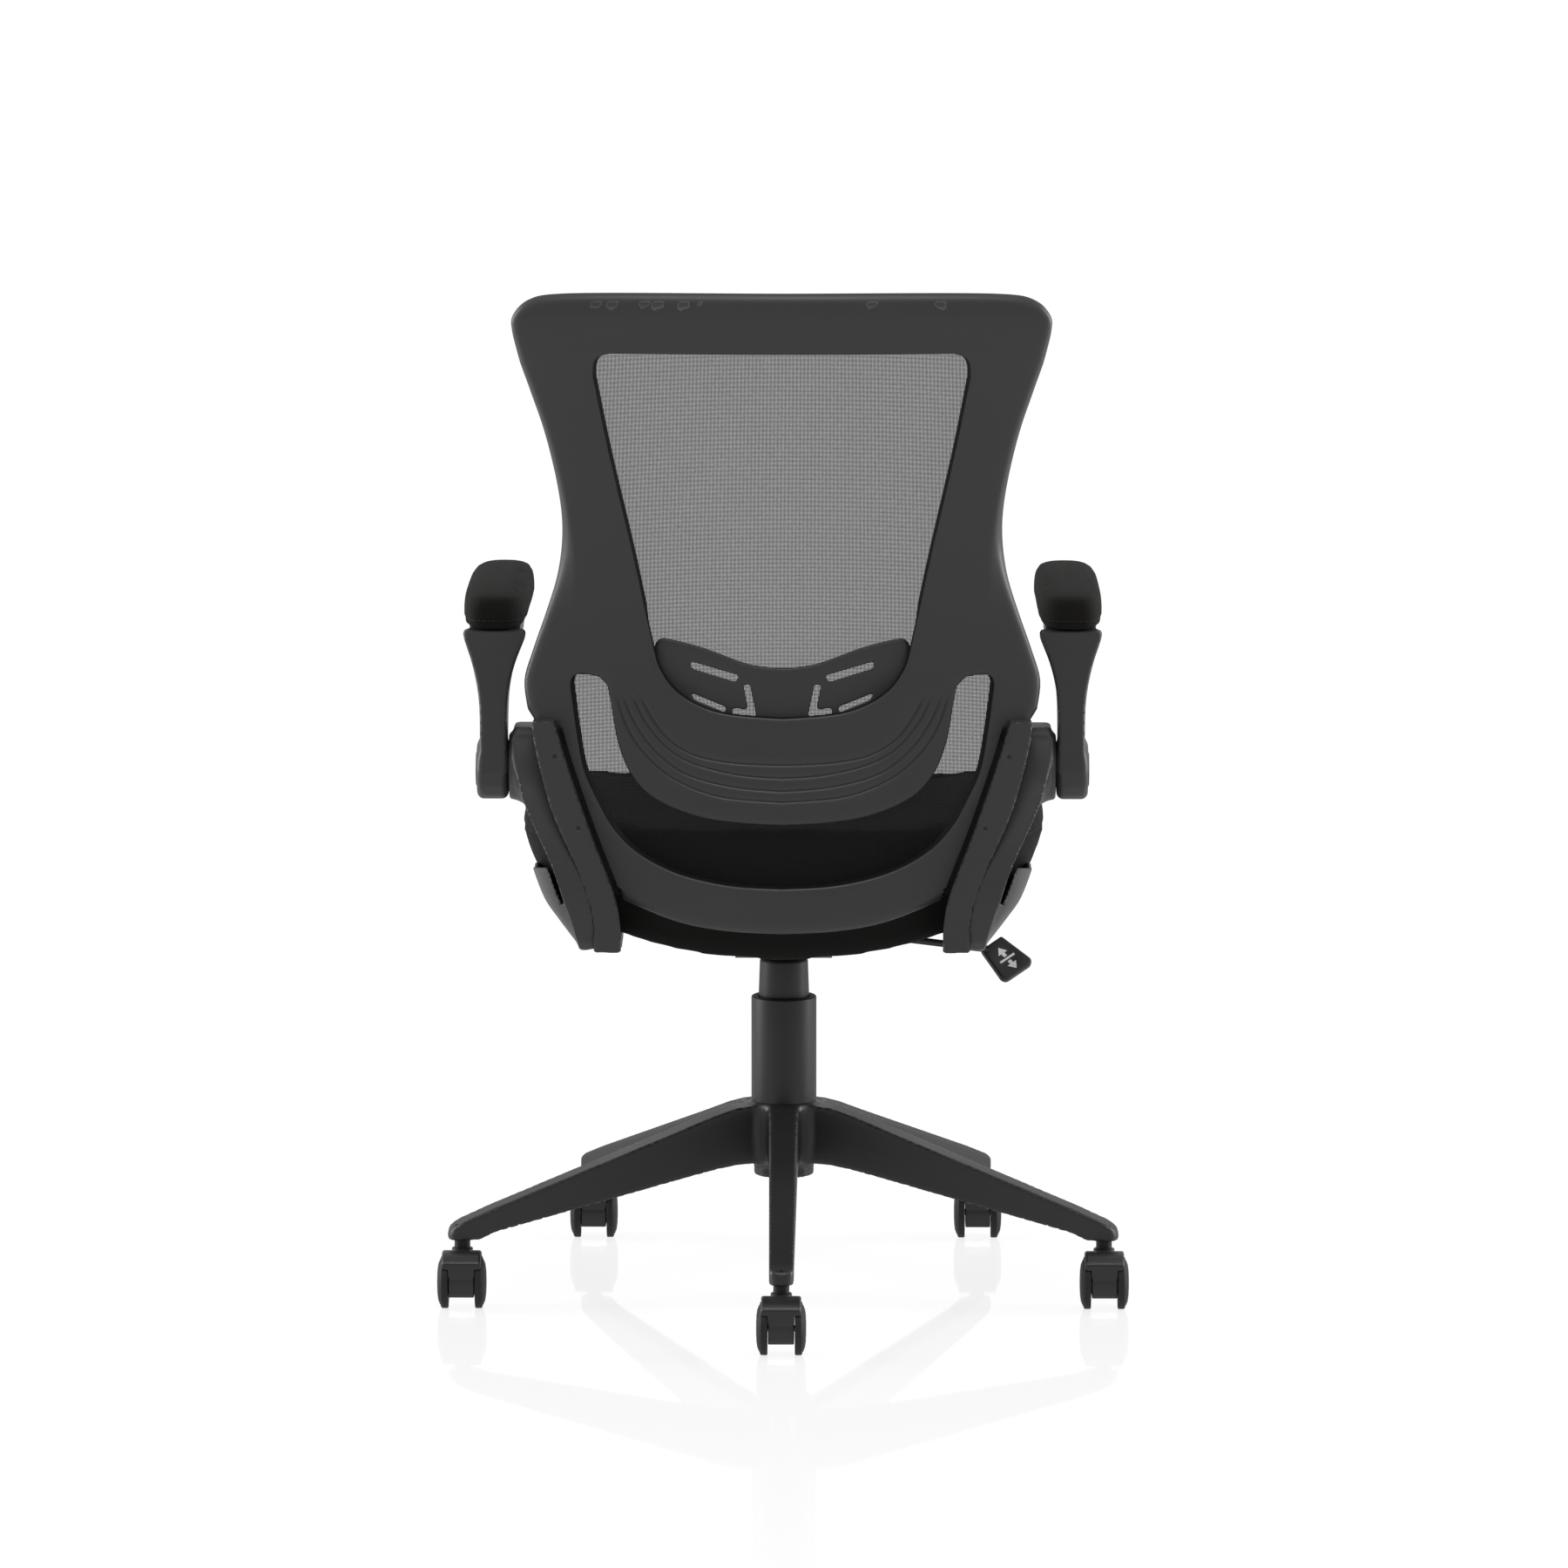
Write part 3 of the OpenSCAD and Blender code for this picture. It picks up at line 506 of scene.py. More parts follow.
FRAME_GREY = 0.032
BASE_GREY = 0.02
frame_plastic = plastic("frame_plastic", FRAME_GREY, 0.44)
frame_inner = plastic("frame_plastic_inner", FRAME_GREY * 0.8, 0.55)
base_plastic = plastic("base_plastic", BASE_GREY, 0.42, grain=0.00003)
# darker and rougher than the frame: its darkness is painted shade for the back frame's walls
shaded_wall_plastic = plastic("frame_plastic_wall_painted_shade", FRAME_GREY * 0.35, 0.7, gloss=0.15)
castor_plastic = plastic("castor_plastic", BASE_GREY * 0.95, 0.36, grain=0.00002)
tread_rubber = plastic("tread_rubber", BASE_GREY * 0.8, 0.62, grain=0.00006, gloss=0.35)
column_plastic = plastic("column_plastic", BASE_GREY * 0.72, 0.5)
lever_plastic = plastic("lever_plastic", 0.02, 0.4)
decal_white = plastic("decal_white", 0.75, 0.5, grain=0.00001)
seam_thread = woven("seam_thread", 0.009, 0.06, 0.0009)
seat_fabric = woven("seat_fabric", 0.011, 0.07, 0.0016, sheen=0.02, gloss=0.1)
pad_fabric = woven("pad_fabric", 0.0095, 0.08, 0.0014, sheen=0.02)
underside_cloth = woven("underside_cloth", 0.01, 0.0, 0.0008, sheen=0.1)
black_steel = metal("black_steel", 0.05, 0.45, metallic=0.6, brushed=False)
bright_steel = metal("bright_steel", 0.55, 0.3)
spring_steel = metal("spring_steel", 0.32, 0.35)


KNIT_PITCH = 0.0021
PLY_PITCH = 0.0024


def make_plywood():
    n = Material("plywood")
    _, _, z = n.xyz()
    rings = n.add("ShaderNodeTexWave", {"Scale": 14, "Distortion": 6, "Detail": 3}, wave_type="BANDS")
    ply = n.math("SINE", n.math("MULTIPLY", z, 2 * math.pi / PLY_PITCH))
    face = n.mix(rings.outputs["Fac"], (0.42, 0.27, 0.14, 1), (0.55, 0.38, 0.21, 1))
    n.set(Base_Color=n.mix(n.ramp(ply, -1, 1, 0, 0.35), face, (0.25, 0.15, 0.08, 1)), Roughness=0.72)
    n.bump(n.math("ADD", rings.outputs["Fac"], n.noise(300)), 0.0002)
    return n.material


def make_mesh_fabric():
    """Elastic knitted mesh: horizontal threads with staggered holes between the crossings."""
    n = Material("mesh_fabric")
    x, _, z = n.xyz()
    column = n.math("MULTIPLY", x, 2 * math.pi / KNIT_PITCH)
    row = n.math("MULTIPLY", z, 2 * math.pi / KNIT_PITCH)
    a = n.math("SINE", n.math("ADD", column, row))
    b = n.math("SINE", n.math("SUBTRACT", column, row))
    weave = n.math("MULTIPLY", a, b)
    loose = n.ramp(n.noise(5, 3), 0.3, 0.7, -0.005, 0.005)
    hole = n.ramp(n.math("SUBTRACT", weave, loose), 0.26, 0.62, 0, 1)
    thread = n.noise(1800, 2)
    n.set(Base_Color=n.mix(thread, grey(0.014), grey(0.034)), Roughness=0.8, Specular_IOR_Level=0.15)
    n.set(Sheen_Weight=0.03, Sheen_Roughness=0.5)
    n.bump(n.math("ADD", n.math("ABSOLUTE", weave), n.math("MULTIPLY", thread, 0.3)), 0.0003)
    n.surface(n.blend(hole, n.shader.outputs[0], n.add("ShaderNodeBsdfTransparent").outputs[0]))
    return n.material


plywood = make_plywood()
mesh_fabric = make_mesh_fabric()

slot_material = {
    "frame_plastic": frame_plastic,
    "base_nylon": base_plastic,
    "castor_plastic": castor_plastic,
    "seat_fabric": seat_fabric,
    "arm_pad_fabric": pad_fabric,
    "mesh_fabric": mesh_fabric,
    "underside_cloth": underside_cloth,
    "black_steel": black_steel,
    "bright_steel": bright_steel,
    "spring_steel": spring_steel,
    "plywood": plywood,
    "lever_plastic": lever_plastic,
}
black_oxide = metal("black_oxide_screws", 0.012, 0.5, metallic=0.2, brushed=False)
node_slot = {part["node"]: part["material_slot"] for part in frame["record"]["subparts"]}
for name, node in nodes.items():
    node.data.materials.clear()
    blacked = name in ("back_frame_screws", "castor_stems", "bracket_bolts")
    node.data.materials.append(black_oxide if blacked else slot_material[node_slot[name]])
    edge_round = node.modifiers.new("edges", "BEVEL")
    edge_round.width = 0.0005
    edge_round.segments = 2
    edge_round.limit_method = "ANGLE"
    edge_round.angle_limit = math.radians(38)
    edge_round.harden_normals = True


# ---------------------------------------------------------------- floor, light and camera

FLOOR_HALF = 60
FLOOR_LIGHT = 0.7  # how strongly the floor lights the underside of things
FLOOR_GLOW = 1.13  # how bright it looks itself


def make_floor():
    """Pale floor that shines by itself, so that it fades to white, with a faint polished reflection near the chair."""
    mesh = bpy.data.meshes.new("floor")
    h = FLOOR_HALF
    mesh.from_pydata([(-h, -h, 0), (h, -h, 0), (h, h, 0), (-h, h, 0)], [], [(0, 1, 2, 3)])
    floor = bpy.data.objects.new("floor", mesh)
    bpy.context.scene.collection.objects.link(floor)
    n = Material("floor")
    n.set(Base_Color=(0.8, 0.8, 0.8, 1), Roughness=0.9, Specular_IOR_Level=0.0)
    seen = n.add("ShaderNodeLightPath").outputs["Is Camera Ray"]
    strength = n.ramp(seen, 0, 1, FLOOR_LIGHT, FLOOR_GLOW)
    glow = n.add("ShaderNodeEmission", {"Color": WHITE, "Strength": strength})
    polish = n.add("ShaderNodeBsdfGlossy", {"Color": WHITE, "Roughness": 0.035})
    x, y, _ = n.xyz()
    away = n.math("SQRT", n.math("ADD", n.math("MULTIPLY", x, x), n.math("MULTIPLY", y, y)))
    soft = n.blend(0.85, n.shader.outputs[0], glow.outputs[0])
    n.surface(n.blend(n.ramp(away, 0.25, 2.6, 0.16, 0.0), soft, polish.outputs[0]))
    mesh.materials.append(n.material)


def make_world():
    """White studio: even light, stronger from the chair's front, so that polished shapes keep some modelling."""
    world = bpy.data.worlds.new("studio")
    bpy.context.scene.world = world
    n = Nodes(world)
    way = n.add("ShaderNodeSeparateXYZ", {"Vector": n.add("ShaderNodeTexCoord").outputs["Generated"]})
    pick = n.add("ShaderNodeMix")
    n.put(pick.inputs[0], n.add("ShaderNodeLightPath").outputs["Is Camera Ray"])
    n.put(pick.inputs[2], n.ramp(way.outputs["Y"], -0.9, 0.9, 0.7, 0.45))
    n.put(pick.inputs[3], 1.0)
    back = n.tree.nodes["Background"]
    n.put(back.inputs["Strength"], pick.outputs[0])
    n.put(back.inputs["Color"], WHITE)


def add_area(name, place, target, width, height, power):
    light = bpy.data.lights.new(name, "AREA")
    light.shape = "RECTANGLE"
    light.size, light.size_y, light.energy = width, height, power
    lamp = bpy.data.objects.new(name, light)
    lamp.location = place
    lamp.rotation_euler = (Vector(target) - Vector(place)).to_track_quat("-Z", "Y").to_euler()
    bpy.context.scene.collection.objects.link(lamp)


make_floor()
make_world()
for label, side in (("left", 1), ("right", -1)):
    add_area(f"softbox_{label}", (2.4 * side, -0.3, 1.2), (0, 0.2, 0.6), 0.5, 2.2, 45)
add_area("softbox_top", (0, 1.2, 3.4), (0, 0.1, 0.5), 1.2, 0.7, 22)

camera_data = bpy.data.cameras.new("camera")
camera_data.lens = 243.8
camera_data.sensor_width = 36
camera_data.clip_end = 300
camera = bpy.data.objects.new("camera", camera_data)
camera.location = (-0.076, 10.0, 1.9687)
camera.rotation_euler = Euler((math.radians(81.56), 0, math.radians(180.435)))
bpy.context.scene.collection.objects.link(camera)
bpy.context.scene.camera = camera
bpy.context.scene.view_settings.view_transform = "Standard"


# ---------------------------------------------------------------- the back's double curve

BACK_R = 900  # radius of the back seen from above, to which the depth of its side view is added
back_line = smooth(
    [(257, 351), (255, 370), (251, 420), (245, 480), (237, 530), (230, 580), (225.5, 630), (225.5, 680), (231, 730),
     (240, 765), (262, 830), (285, 895), (304, 940), (320, 992)], 6)


def back_radius(z):
    """Radius of the rear face at a height, about a vertical axis BACK_R in front of the origin."""
    return BACK_R + np.interp(z, back_line[:, 1], back_line[:, 0])


def on_back(x, z, depth):
    """Point on the curved back, a depth in front of its rear face along the face's own normal."""
    rear = back_radius(z)
    s = x / rear
    r = rear - depth
    return np.stack([r * s, r * np.sqrt(1 - s * s) - BACK_R, z + 0 * x], 1)


def back_depth(p):
    """Depth of points in front of the back's rear face."""
    return back_radius(p[:, 2]) - np.hypot(p[:, 0], p[:, 1] + BACK_R)


def edge_roll(s, width, depth):
    """Depth of an edge rounded over a width, at a distance s inside the edge."""
    t = np.clip(1 - s / width, 0, 1)
    return depth * (1 - np.sqrt(np.maximum(1 - t * t, 0)))


def offset_rings(loop, offsets):
    """Copies of a closed outline moved to its left by each offset."""
    ahead = np.roll(loop, -1, 0) - np.roll(loop, 1, 0)
    ahead /= np.linalg.norm(ahead, axis=1)[:, None]
    left = np.stack([-ahead[:, 1], ahead[:, 0]], 1)
    return [loop + d * left for d in offsets]


def between(points, rings):
    """True for points inside the first closed outline and outside the others."""
    inside = in_polygon(points, rings[0])
    for ring in rings[1:]:
        inside &= ~in_polygon(points, ring)
    return inside


def rim_distance(points, rings):
    return np.min([line_distance(points, ring, True) for ring in rings], axis=0)


def filled(rings, points, thinnest=0.0):
    """Anticlockwise triangles between closed outlines, and their points: the outlines' come first and in order."""
    edges, start = [], 0
    for ring in rings:
        n = len(ring)
        edges += [(start + i, start + (i + 1) % n) for i in range(n)]
        start += n
    flat = [Vector(p) for p in np.concatenate([*rings, points])]
    got = geometry.delaunay_2d_cdt(flat, edges, [], 0, 1e-5)
    places = np.array([tuple(v) for v in got[0]])
    tri = np.array([f for f in got[2] if len(f) == 3])
    tri = tri[between(places[tri].mean(1), rings)]
    a, b, c = (places[tri[:, k]] for k in range(3))
    turn = (b[:, 0] - a[:, 0]) * (c[:, 1] - a[:, 1]) - (b[:, 1] - a[:, 1]) * (c[:, 0] - a[:, 0])
    tri[turn < 0] = tri[turn < 0][:, ::-1]
    return places, tri[np.abs(turn) >= thinnest]


OUTER_OFFSETS = (0, 0.5, 1.3, 2.6, 4.2, 6.5, 9.5)
HOLE_OFFSETS = (0, 0.25, 0.7, 1.4, 2.4)


def panel(outer, holes, rear, front, gap=3.0, grid=6.0, rows=(),
          outer_offsets=OUTER_OFFSETS, hole_offsets=HOLE_OFFSETS):
    """Moulded panel on the curved back: quad strips round every edge and a Delaunay mesh between them.

    outer and holes are outlines in (x, z). rear and front give the depth of each face from the points, the
    distance to the outer edge and the distance to the nearest hole. rows are extra rows of points.
    """
    loops = [anticlockwise(resample(outer, gap))] + [anticlockwise(resample(h, gap))[::-1] for h in holes]
    offsets = [outer_offsets] + [hole_offsets] * len(holes)
    flat, strips, cores, core_ids = [], [], [], []
    count = 0
    for loop, steps in zip(loops, offsets):
        rings = offset_rings(loop, steps)
        n = len(loop)
        for a in range(count, count + (len(rings) - 1) * n, n):
            strips += [[a + j, a + (j + 1) % n, a + n + (j + 1) % n, a + n + j] for j in range(n)]
        flat += rings
        count += n * len(rings)
        cores.append(rings[-1])
        core_ids += range(count - n, count)
    low, high = cores[0].min(0), cores[0].max(0)
    xs, zs = np.arange(low[0], high[0], grid), np.arange(low[1], high[1], grid * 0.866)
    points = np.array([(x + (j % 2) * grid / 2, z) for j, z in enumerate(zs) for x in xs])
    margin = np.full(len(points), grid * 0.5)
    if len(rows):
        rows = np.concatenate(rows)
        points = np.concatenate([rows, points[line_free(points, rows, grid * 0.55)]])
        margin = np.where(np.arange(len(points)) < len(rows), 0.8, grid * 0.5)
    points = points[between(points, cores) & (rim_distance(points, cores) > margin)]
    places, tri = filled(cores, points, 1e-6)
    tri = np.concatenate([core_ids, count + np.arange(len(places) - len(core_ids))])[tri]
    flat = np.concatenate([*flat, places[len(core_ids) :]])
    to_outer = rim_distance(flat, loops[:1])
    to_hole = rim_distance(flat, loops[1:]) if holes else np.full(len(flat), 1e3)
    back, face = (on_back(flat[:, 0], flat[:, 1], side(flat, to_outer, to_hole)) for side in (rear, front))
    total = len(flat)
    faces = [[int(i) for i in f[::-1]] for f in [*strips, *tri]]
    faces += [[int(i) + total for i in f] for f in [*strips, *tri]]
    start = 0
    for loop, steps in zip(loops, offsets):
        n = len(loop)
        faces += [[start + j, start + (j + 1) % n, total + start + (j + 1) % n, total + start + j] for j in range(n)]
        start += n * len(steps)
    return np.concatenate([back, face]), faces


def line_free(points, others, gap):
    """True where a point has none of the others nearer than gap."""
    cell = {}
    for q in others:
        cell.setdefault((int(q[0] // gap), int(q[1] // gap)), []).append(q)
    out = np.ones(len(points), bool)
    for i, p in enumerate(points):
        cx, cy = int(p[0] // gap), int(p[1] // gap)
        for dx, dy in itertools.product((-1, 0, 1), repeat=2):
            for q in cell.get((cx + dx, cy + dy), ()):
                if (p[0] - q[0]) ** 2 + (p[1] - q[1]) ** 2 < gap * gap:
                    out[i] = False
    return out


def rows_along(line, offsets, gap):
    """Rows of points beside an open line, for a crease or a groove."""
    line = resample(line, gap, closed=False)
    ahead = np.gradient(line, axis=0)
    ahead /= np.linalg.norm(ahead, axis=1)[:, None]
    left = np.stack([-ahead[:, 1], ahead[:, 0]], 1)
    return np.concatenate([line + d * left for d in offsets])


# ---------------------------------------------------------------- back frame, rim, mesh and lumbar plate

frame_edge = np.concatenate([
    smooth([(0, 984), (130, 984), (208, 982), (236, 976), (249, 962), (250, 948), (245, 922), (235, 890), (222, 850),
            (211, 800), (207, 758), (211, 715), (222, 675), (234, 640), (242, 612), (239, 585)], 5),
    [(228, 568)],
    smooth([(220, 552), (209, 500), (189, 450), (174, 424)], 4),
    smooth([(150, 411), (98, 391), (50, 382.5), (0, 380)], 4)])
window_edge = np.concatenate([
    smooth([(0, 927), (150, 927)], 2),
    smooth([(160, 927), (168, 924), (173, 917), (174, 905)], 4),
    smooth([(174, 904), (160, 830), (138, 730), (121, 650), (112, 622), (92, 600), (56, 585), (0, 580)], 5)])
gap_outer = smooth([(171, 617), (184, 619), (193, 618), (197, 612), (196.5, 603), (192, 570), (185, 532), (173, 505),
                    (158, 479), (135, 456), (98, 437), (50, 426), (0, 423)], 5)
band_lower = smooth([(163, 609), (160, 594), (153, 556), (140, 526), (118, 505), (80, 490), (40, 484), (0, 482)], 5)


def across(edge):
    """Closed outline from its half at x >= 0, whose first and last points may lie on the middle line."""
    edge = np.array(edge, float)
    loop = np.concatenate([edge, (edge * [-1, 1])[::-1]])
    return loop[np.linalg.norm(loop - np.roll(loop, 1, 0), axis=1) > 1e-6]


frame_loop = across(frame_edge)
window_loop = across(window_edge)
half_gap = np.concatenate([gap_outer, (gap_outer * [-1, 1])[::-1][1:]])
gap_loop = np.concatenate([half_gap, band_lower * [-1, 1], band_lower[::-1][1:]])

seam_line = smooth([(232, 572), (228, 548), (215, 500), (199, 462), (187.5, 437), (175, 398), (174, 365)], 4)
shell_line = smooth([(242, 505), (236, 490), (215, 446), (202, 410), (192, 380), (187, 358)], 4)
inner_line = smooth([(212, 577), (200, 537), (178, 475), (157, 421), (150.5, 390), (150, 365)], 4)

ridge_line = np.array([(246, 945), (240, 916), (231, 893), (223, 868), (214, 838), (207, 808), (202, 784), (197, 758),
                       (194, 734), (193, 714), (193, 663), (193, 640)], float)
groove_lines = [smooth(line, 8) for line in (
    [(135, 609), (134, 605), (126, 587), (108, 562), (82, 546), (46, 539), (0, 537)],
    [(142, 609), (141, 604), (129, 578), (108, 553), (82, 538), (40, 528), (0, 525)],
    [(150, 609), (149.5, 604), (141, 581), (122, 553), (91, 529), (46, 517), (0, 513)],
    [(156, 606), (155, 600), (144, 569), (126, 544), (99, 523), (58, 508), (0, 503)])]
GROOVE_DEPTH = 1.35


def soft_ramp(t, width):
    """0 below zero and t above it, with a rounded corner."""
    return 0.5 * (t + np.sqrt(t * t + width * width))


def frame_rear(p, to_outer, to_hole):
    """Depth of the frame's rear face: rolled edges, the ridge along each rail, the top lip and the band's grooves."""
    x, z = np.abs(p[:, 0]), p[:, 1]
    depth = edge_roll(to_outer, 10, 7.5) + edge_roll(to_hole, 3.4, 2.6)
    inset = np.interp(z, ridge_line[::-1, 1], ridge_line[::-1, 0])
    slope = 0.8 * step(z, 655, 790) * (1 - step(z, 925, 955))
    depth += slope * soft_ramp(x - inset, 2.0)
    depth += 0.42 * soft_ramp(z - 960, 3.0)
    depth += 0.22 * soft_ramp(948 - z, 5.0) * step(z, 926, 945) * (1 - step(x, 150, 215))
    beside = x - np.interp(z, inner_line[::-1, 1], inner_line[::-1, 0])
    depth += 12 * step(beside, -5, -3.2) * (1 - step(z, 555, 572)) * step(z, 392, 430)
    for line in groove_lines:
        near = (z < 615) & (z > 495) & (x < 165)
        gap = line_distance(np.stack([x[near], z[near]], 1), line)
        fade = 1 - step(z[near], 590, 609)
        depth[near] += GROOVE_DEPTH * fade * (1 - step(gap, 0.15, 1.5))
    return depth


def frame_front(p, to_outer, to_hole):
    """Depth of the front face, hollowed behind the lumbar band for the plate that slides there."""
    x, z = np.abs(p[:, 0]), p[:, 1]
    side = 152 - 21 * (z - 470) / 190
    pocket = step(z, 468, 478) * (1 - step(z, 676, 686)) * (1 - step(x - side, -6, 2))
    return 22 - 10 * pocket - edge_roll(to_outer, 5, 4) - edge_roll(to_hole, 2.2, 2.0)


def both_rows(line, offsets, gap):
    return [rows_along(line * [side, 1], offsets, gap) for side in (1, -1)]


crease_rows = [rows for line in groove_lines for rows in both_rows(line, (-1.7, -1.0, -0.45, 0, 0.45, 1.0, 1.7), 3.5)]
crease_rows += both_rows(ridge_line, (-3.5, -1.5, 0, 1.5, 3.5), 6)
crease_rows += [rows_along(np.array([(-225, z), (225, z)], float), (0,), 8) for z in (952, 957, 960.5, 964, 969)]
crease_rows += both_rows(inner_line - [4.1, 0], (-0.9, 0, 0.9), 5)
frame_shape = panel(frame_loop, [window_loop, gap_loop], frame_rear, frame_front, rows=crease_rows)
back_frame = fitted("back_frame_moulding", frame_shape, frame_plastic, "seat", "back_frame", 50)

# the walls of its openings and edges get a darker, rougher plastic: the darkness is painted shade for walls that lie
# in shade
back_frame.data.materials.append(shaded_wall_plastic)
# faces turned this far from the back's outward direction get the painted shade
SHADED_WALL_SLANT = 0.34
for face in back_frame.data.polygons:
    out = Vector((face.center.x, face.center.y + BACK_R * MM, 0)).normalized()
    if abs(face.normal.dot(out)) < SHADED_WALL_SLANT:
        face.material_index = 1


def inner_outline(loop, inset):
    """Outline moved inwards, without the folds that tight corners would make."""
    loop = anticlockwise(resample(loop, 3))
    moved = offset_rings(loop, [inset])[0]
    return moved[line_distance(moved, loop, True) > inset - 0.08]


rim_shape = panel(
    inner_outline(frame_loop, 3), [inner_outline(frame_loop, 14.5)],
    lambda p, a, b: 22.1 + edge_roll(a, 1.5, 1.2) + edge_roll(b, 1.5, 1.2),
    lambda p, a, b: 27 - edge_roll(a, 4.5, 3.4) - edge_roll(b, 4.0, 2.0),
    grid=5, outer_offsets=(0, 0.4, 1.0, 1.8, 3.0, 4.4), hole_offsets=(0, 0.3, 0.8, 1.6, 2.8, 4.0))
mesh_rim = fitted("mesh_rim_strip", rim_shape, frame_inner, "seat", "mesh_rim", 50)


def stretched_sheet(loop, depth, grid, pull=1.6):
    """Membrane held along a closed outline on the back and pulled tight inside it: each point settles at the
    weighted middle of its neighbours, sideways threads pulling harder than upright ones. It stays behind the flat
    line between its edges, by no more than a slack that is small where the lumbar plate slides."""
    loop = anticlockwise(resample(loop, grid))
    low, high = loop.min(0), loop.max(0)
    xs, zs = np.arange(low[0], high[0], grid), np.arange(low[1], high[1], grid)
    points = np.array([(x, z) for z in zs for x in xs])
    points = points[between(points, [loop]) & (rim_distance(points, [loop]) > grid * 0.45)]
    places, tri = filled([loop], points)
    tri, n = tri[:, ::-1], len(loop)
    edges = np.unique(np.sort(np.concatenate([tri[:, [0, 1]], tri[:, [1, 2]], tri[:, [2, 0]]]), axis=1), axis=0)
    way = places[edges[:, 1]] - places[edges[:, 0]]
    size = np.linalg.norm(way, axis=1)
    weight = (1 + (pull - 1) * (way[:, 0] / size) ** 2) * np.where(np.abs(way).min(1) > 0.3 * size, 0.3, 1)
    placed = on_back(places[:, 0], places[:, 1], np.full(len(places), float(depth)))
    pull_of = np.zeros((len(places), len(places)))
    pull_of[edges[:, 0], edges[:, 1]] = pull_of[edges[:, 1], edges[:, 0]] = weight
    inside, held = np.arange(n, len(places)), np.arange(n)
    stiffness = np.diag(pull_of[inside].sum(1)) - pull_of[np.ix_(inside, inside)]
    tight = np.linalg.solve(stiffness, pull_of[np.ix_(inside, held)] @ placed[held, 1])
    slack = 1.5 + 30 * step(placed[inside, 2], 470, 640)
    placed[inside, 1] = np.clip(tight, placed[inside, 1] - slack, placed[inside, 1])
    return placed, tri


mesh_shape = stretched_sheet(inner_outline(frame_loop, 12.5), 24.4, 8)
back_mesh = fitted("back_mesh_sheet", mesh_shape, mesh_fabric, "seat", "back_mesh", 0)

lumbar_edge = smooth([(0, 625), (16, 626), (37, 630), (73, 643), (100, 650), (114, 652), (120, 646), (121, 634),
                      (116, 600), (100, 572), (70, 550), (30, 540), (0, 538)], 4)
lumbar_slots = [
    [(43.8, 611.6), (86, 624.2), (87.2, 631.2), (40.5, 618.2)],
    [(53.5, 583.2), (83, 595), (87.2, 601.8), (53.5, 589)],
    [(24.2, 580), (46, 580), (47.5, 588.2), (32.2, 586.4), (36.6, 609.3), (30.6, 610.2)],
]


def lumbar_dish(p):
    """Depth of the hollows moulded into the plate's rear face."""
    x, z = np.abs(p[:, 0]), p[:, 1]
    lobe = 3.4 * np.exp(-(((x - 96) / 24) ** 2 + ((z - 604) / 22) ** 2))
    lobe += 1.6 * np.exp(-(((x - 60) / 14) ** 2 + ((z - 582) / 14) ** 2))
    return lobe - 1.2 * np.exp(-((x / 24) ** 2))


slot_loops = []
for slot in lumbar_slots:
    loop = rounded(anticlockwise(np.array(slot, float)), 2.2, 4)
    slot_loops += [loop, (loop * [-1, 1])[::-1]]
lumbar_shape = panel(
    across(lumbar_edge), slot_loops,
    lambda p, a, b: 14 + lumbar_dish(p) + edge_roll(a, 4.2, 2.4) + edge_roll(b, 1.2, 1.0),
    lambda p, a, b: 18.6 + lumbar_dish(p) * 0.1 - edge_roll(a, 2.6, 1.6) - edge_roll(b, 1.2, 1.0),
    gap=2.2, grid=5, outer_offsets=(0, 0.4, 1.0, 1.8, 2.8, 4.2), hole_offsets=(0, 0.3, 0.7, 1.3))
fitted("lumbar_plate", lumbar_shape, frame_plastic, "lumbar", "lumbar_support", 50)


# ---------------------------------------------------------------- brackets and uprights

PIVOT = (175, 525)  # axis of the arm pivots, as (y, z)
foot_bolts = [(168, -60), (168, 50), (161, 102), (161, 120)]
limb_side = np.concatenate([
    [(149, 530), (151, 505)],
    smooth([(160, 500), (188, 485), (211, 462), (222, 430), (224, 400), (215, 376), (190, 367)], 4),
    [(60, 367), (60, 351), (150, 351), (232, 363)],
    smooth([(250, 367), (257, 382), (256, 420), (247, 455), (230, 495), (210, 535), (196, 567)], 4),
    [(160, 567)]])
limb_face = np.concatenate([seam_line, shell_line[::-1], [(246, 520), (252, 556), (246, 570), (232, 570)]])
blade_face = np.concatenate([inner_line, seam_line[::-1] + [0.9, 0], [(232, 577)]])
foot_side = np.array([(-90, 351), (140, 351), (190, 359), (190, 367), (-90, 367)], float)
heel_side = np.array([(91, 351), (150, 351), (256, 365), (256, 367), (91, 367)], float)
stop_side = np.array([(152, 520), (152, 560), (158, 567), (192, 567), (198, 560), (198, 520)], float)
stop_face = np.array([(226, 520), (226, 567), (249, 567), (250.5, 565), (250.5, 553), (253, 550), (253, 520)], float)
BOSS_R = 28  # of the round ends of bracket and arm
PIN_R = 6
wing_line = smooth([(186, 358), (193, 366.5), (201.5, 374.5), (214, 389.5), (224.2, 404), (233.4, 428), (236, 440)], 4)
WING_REAR = 248
WING_TURN = 96  # how far forwards it takes to turn from the limb's face to the cushion's flank
WING_RISE = 0.15  # its top edge rises towards the limb


def bolt_holes(p, shape):
    for x, y in foot_bolts:
        shape = np.maximum(shape, 3.3 - np.hypot(p[:, 0] - x, p[:, 1] - y))
    return shape


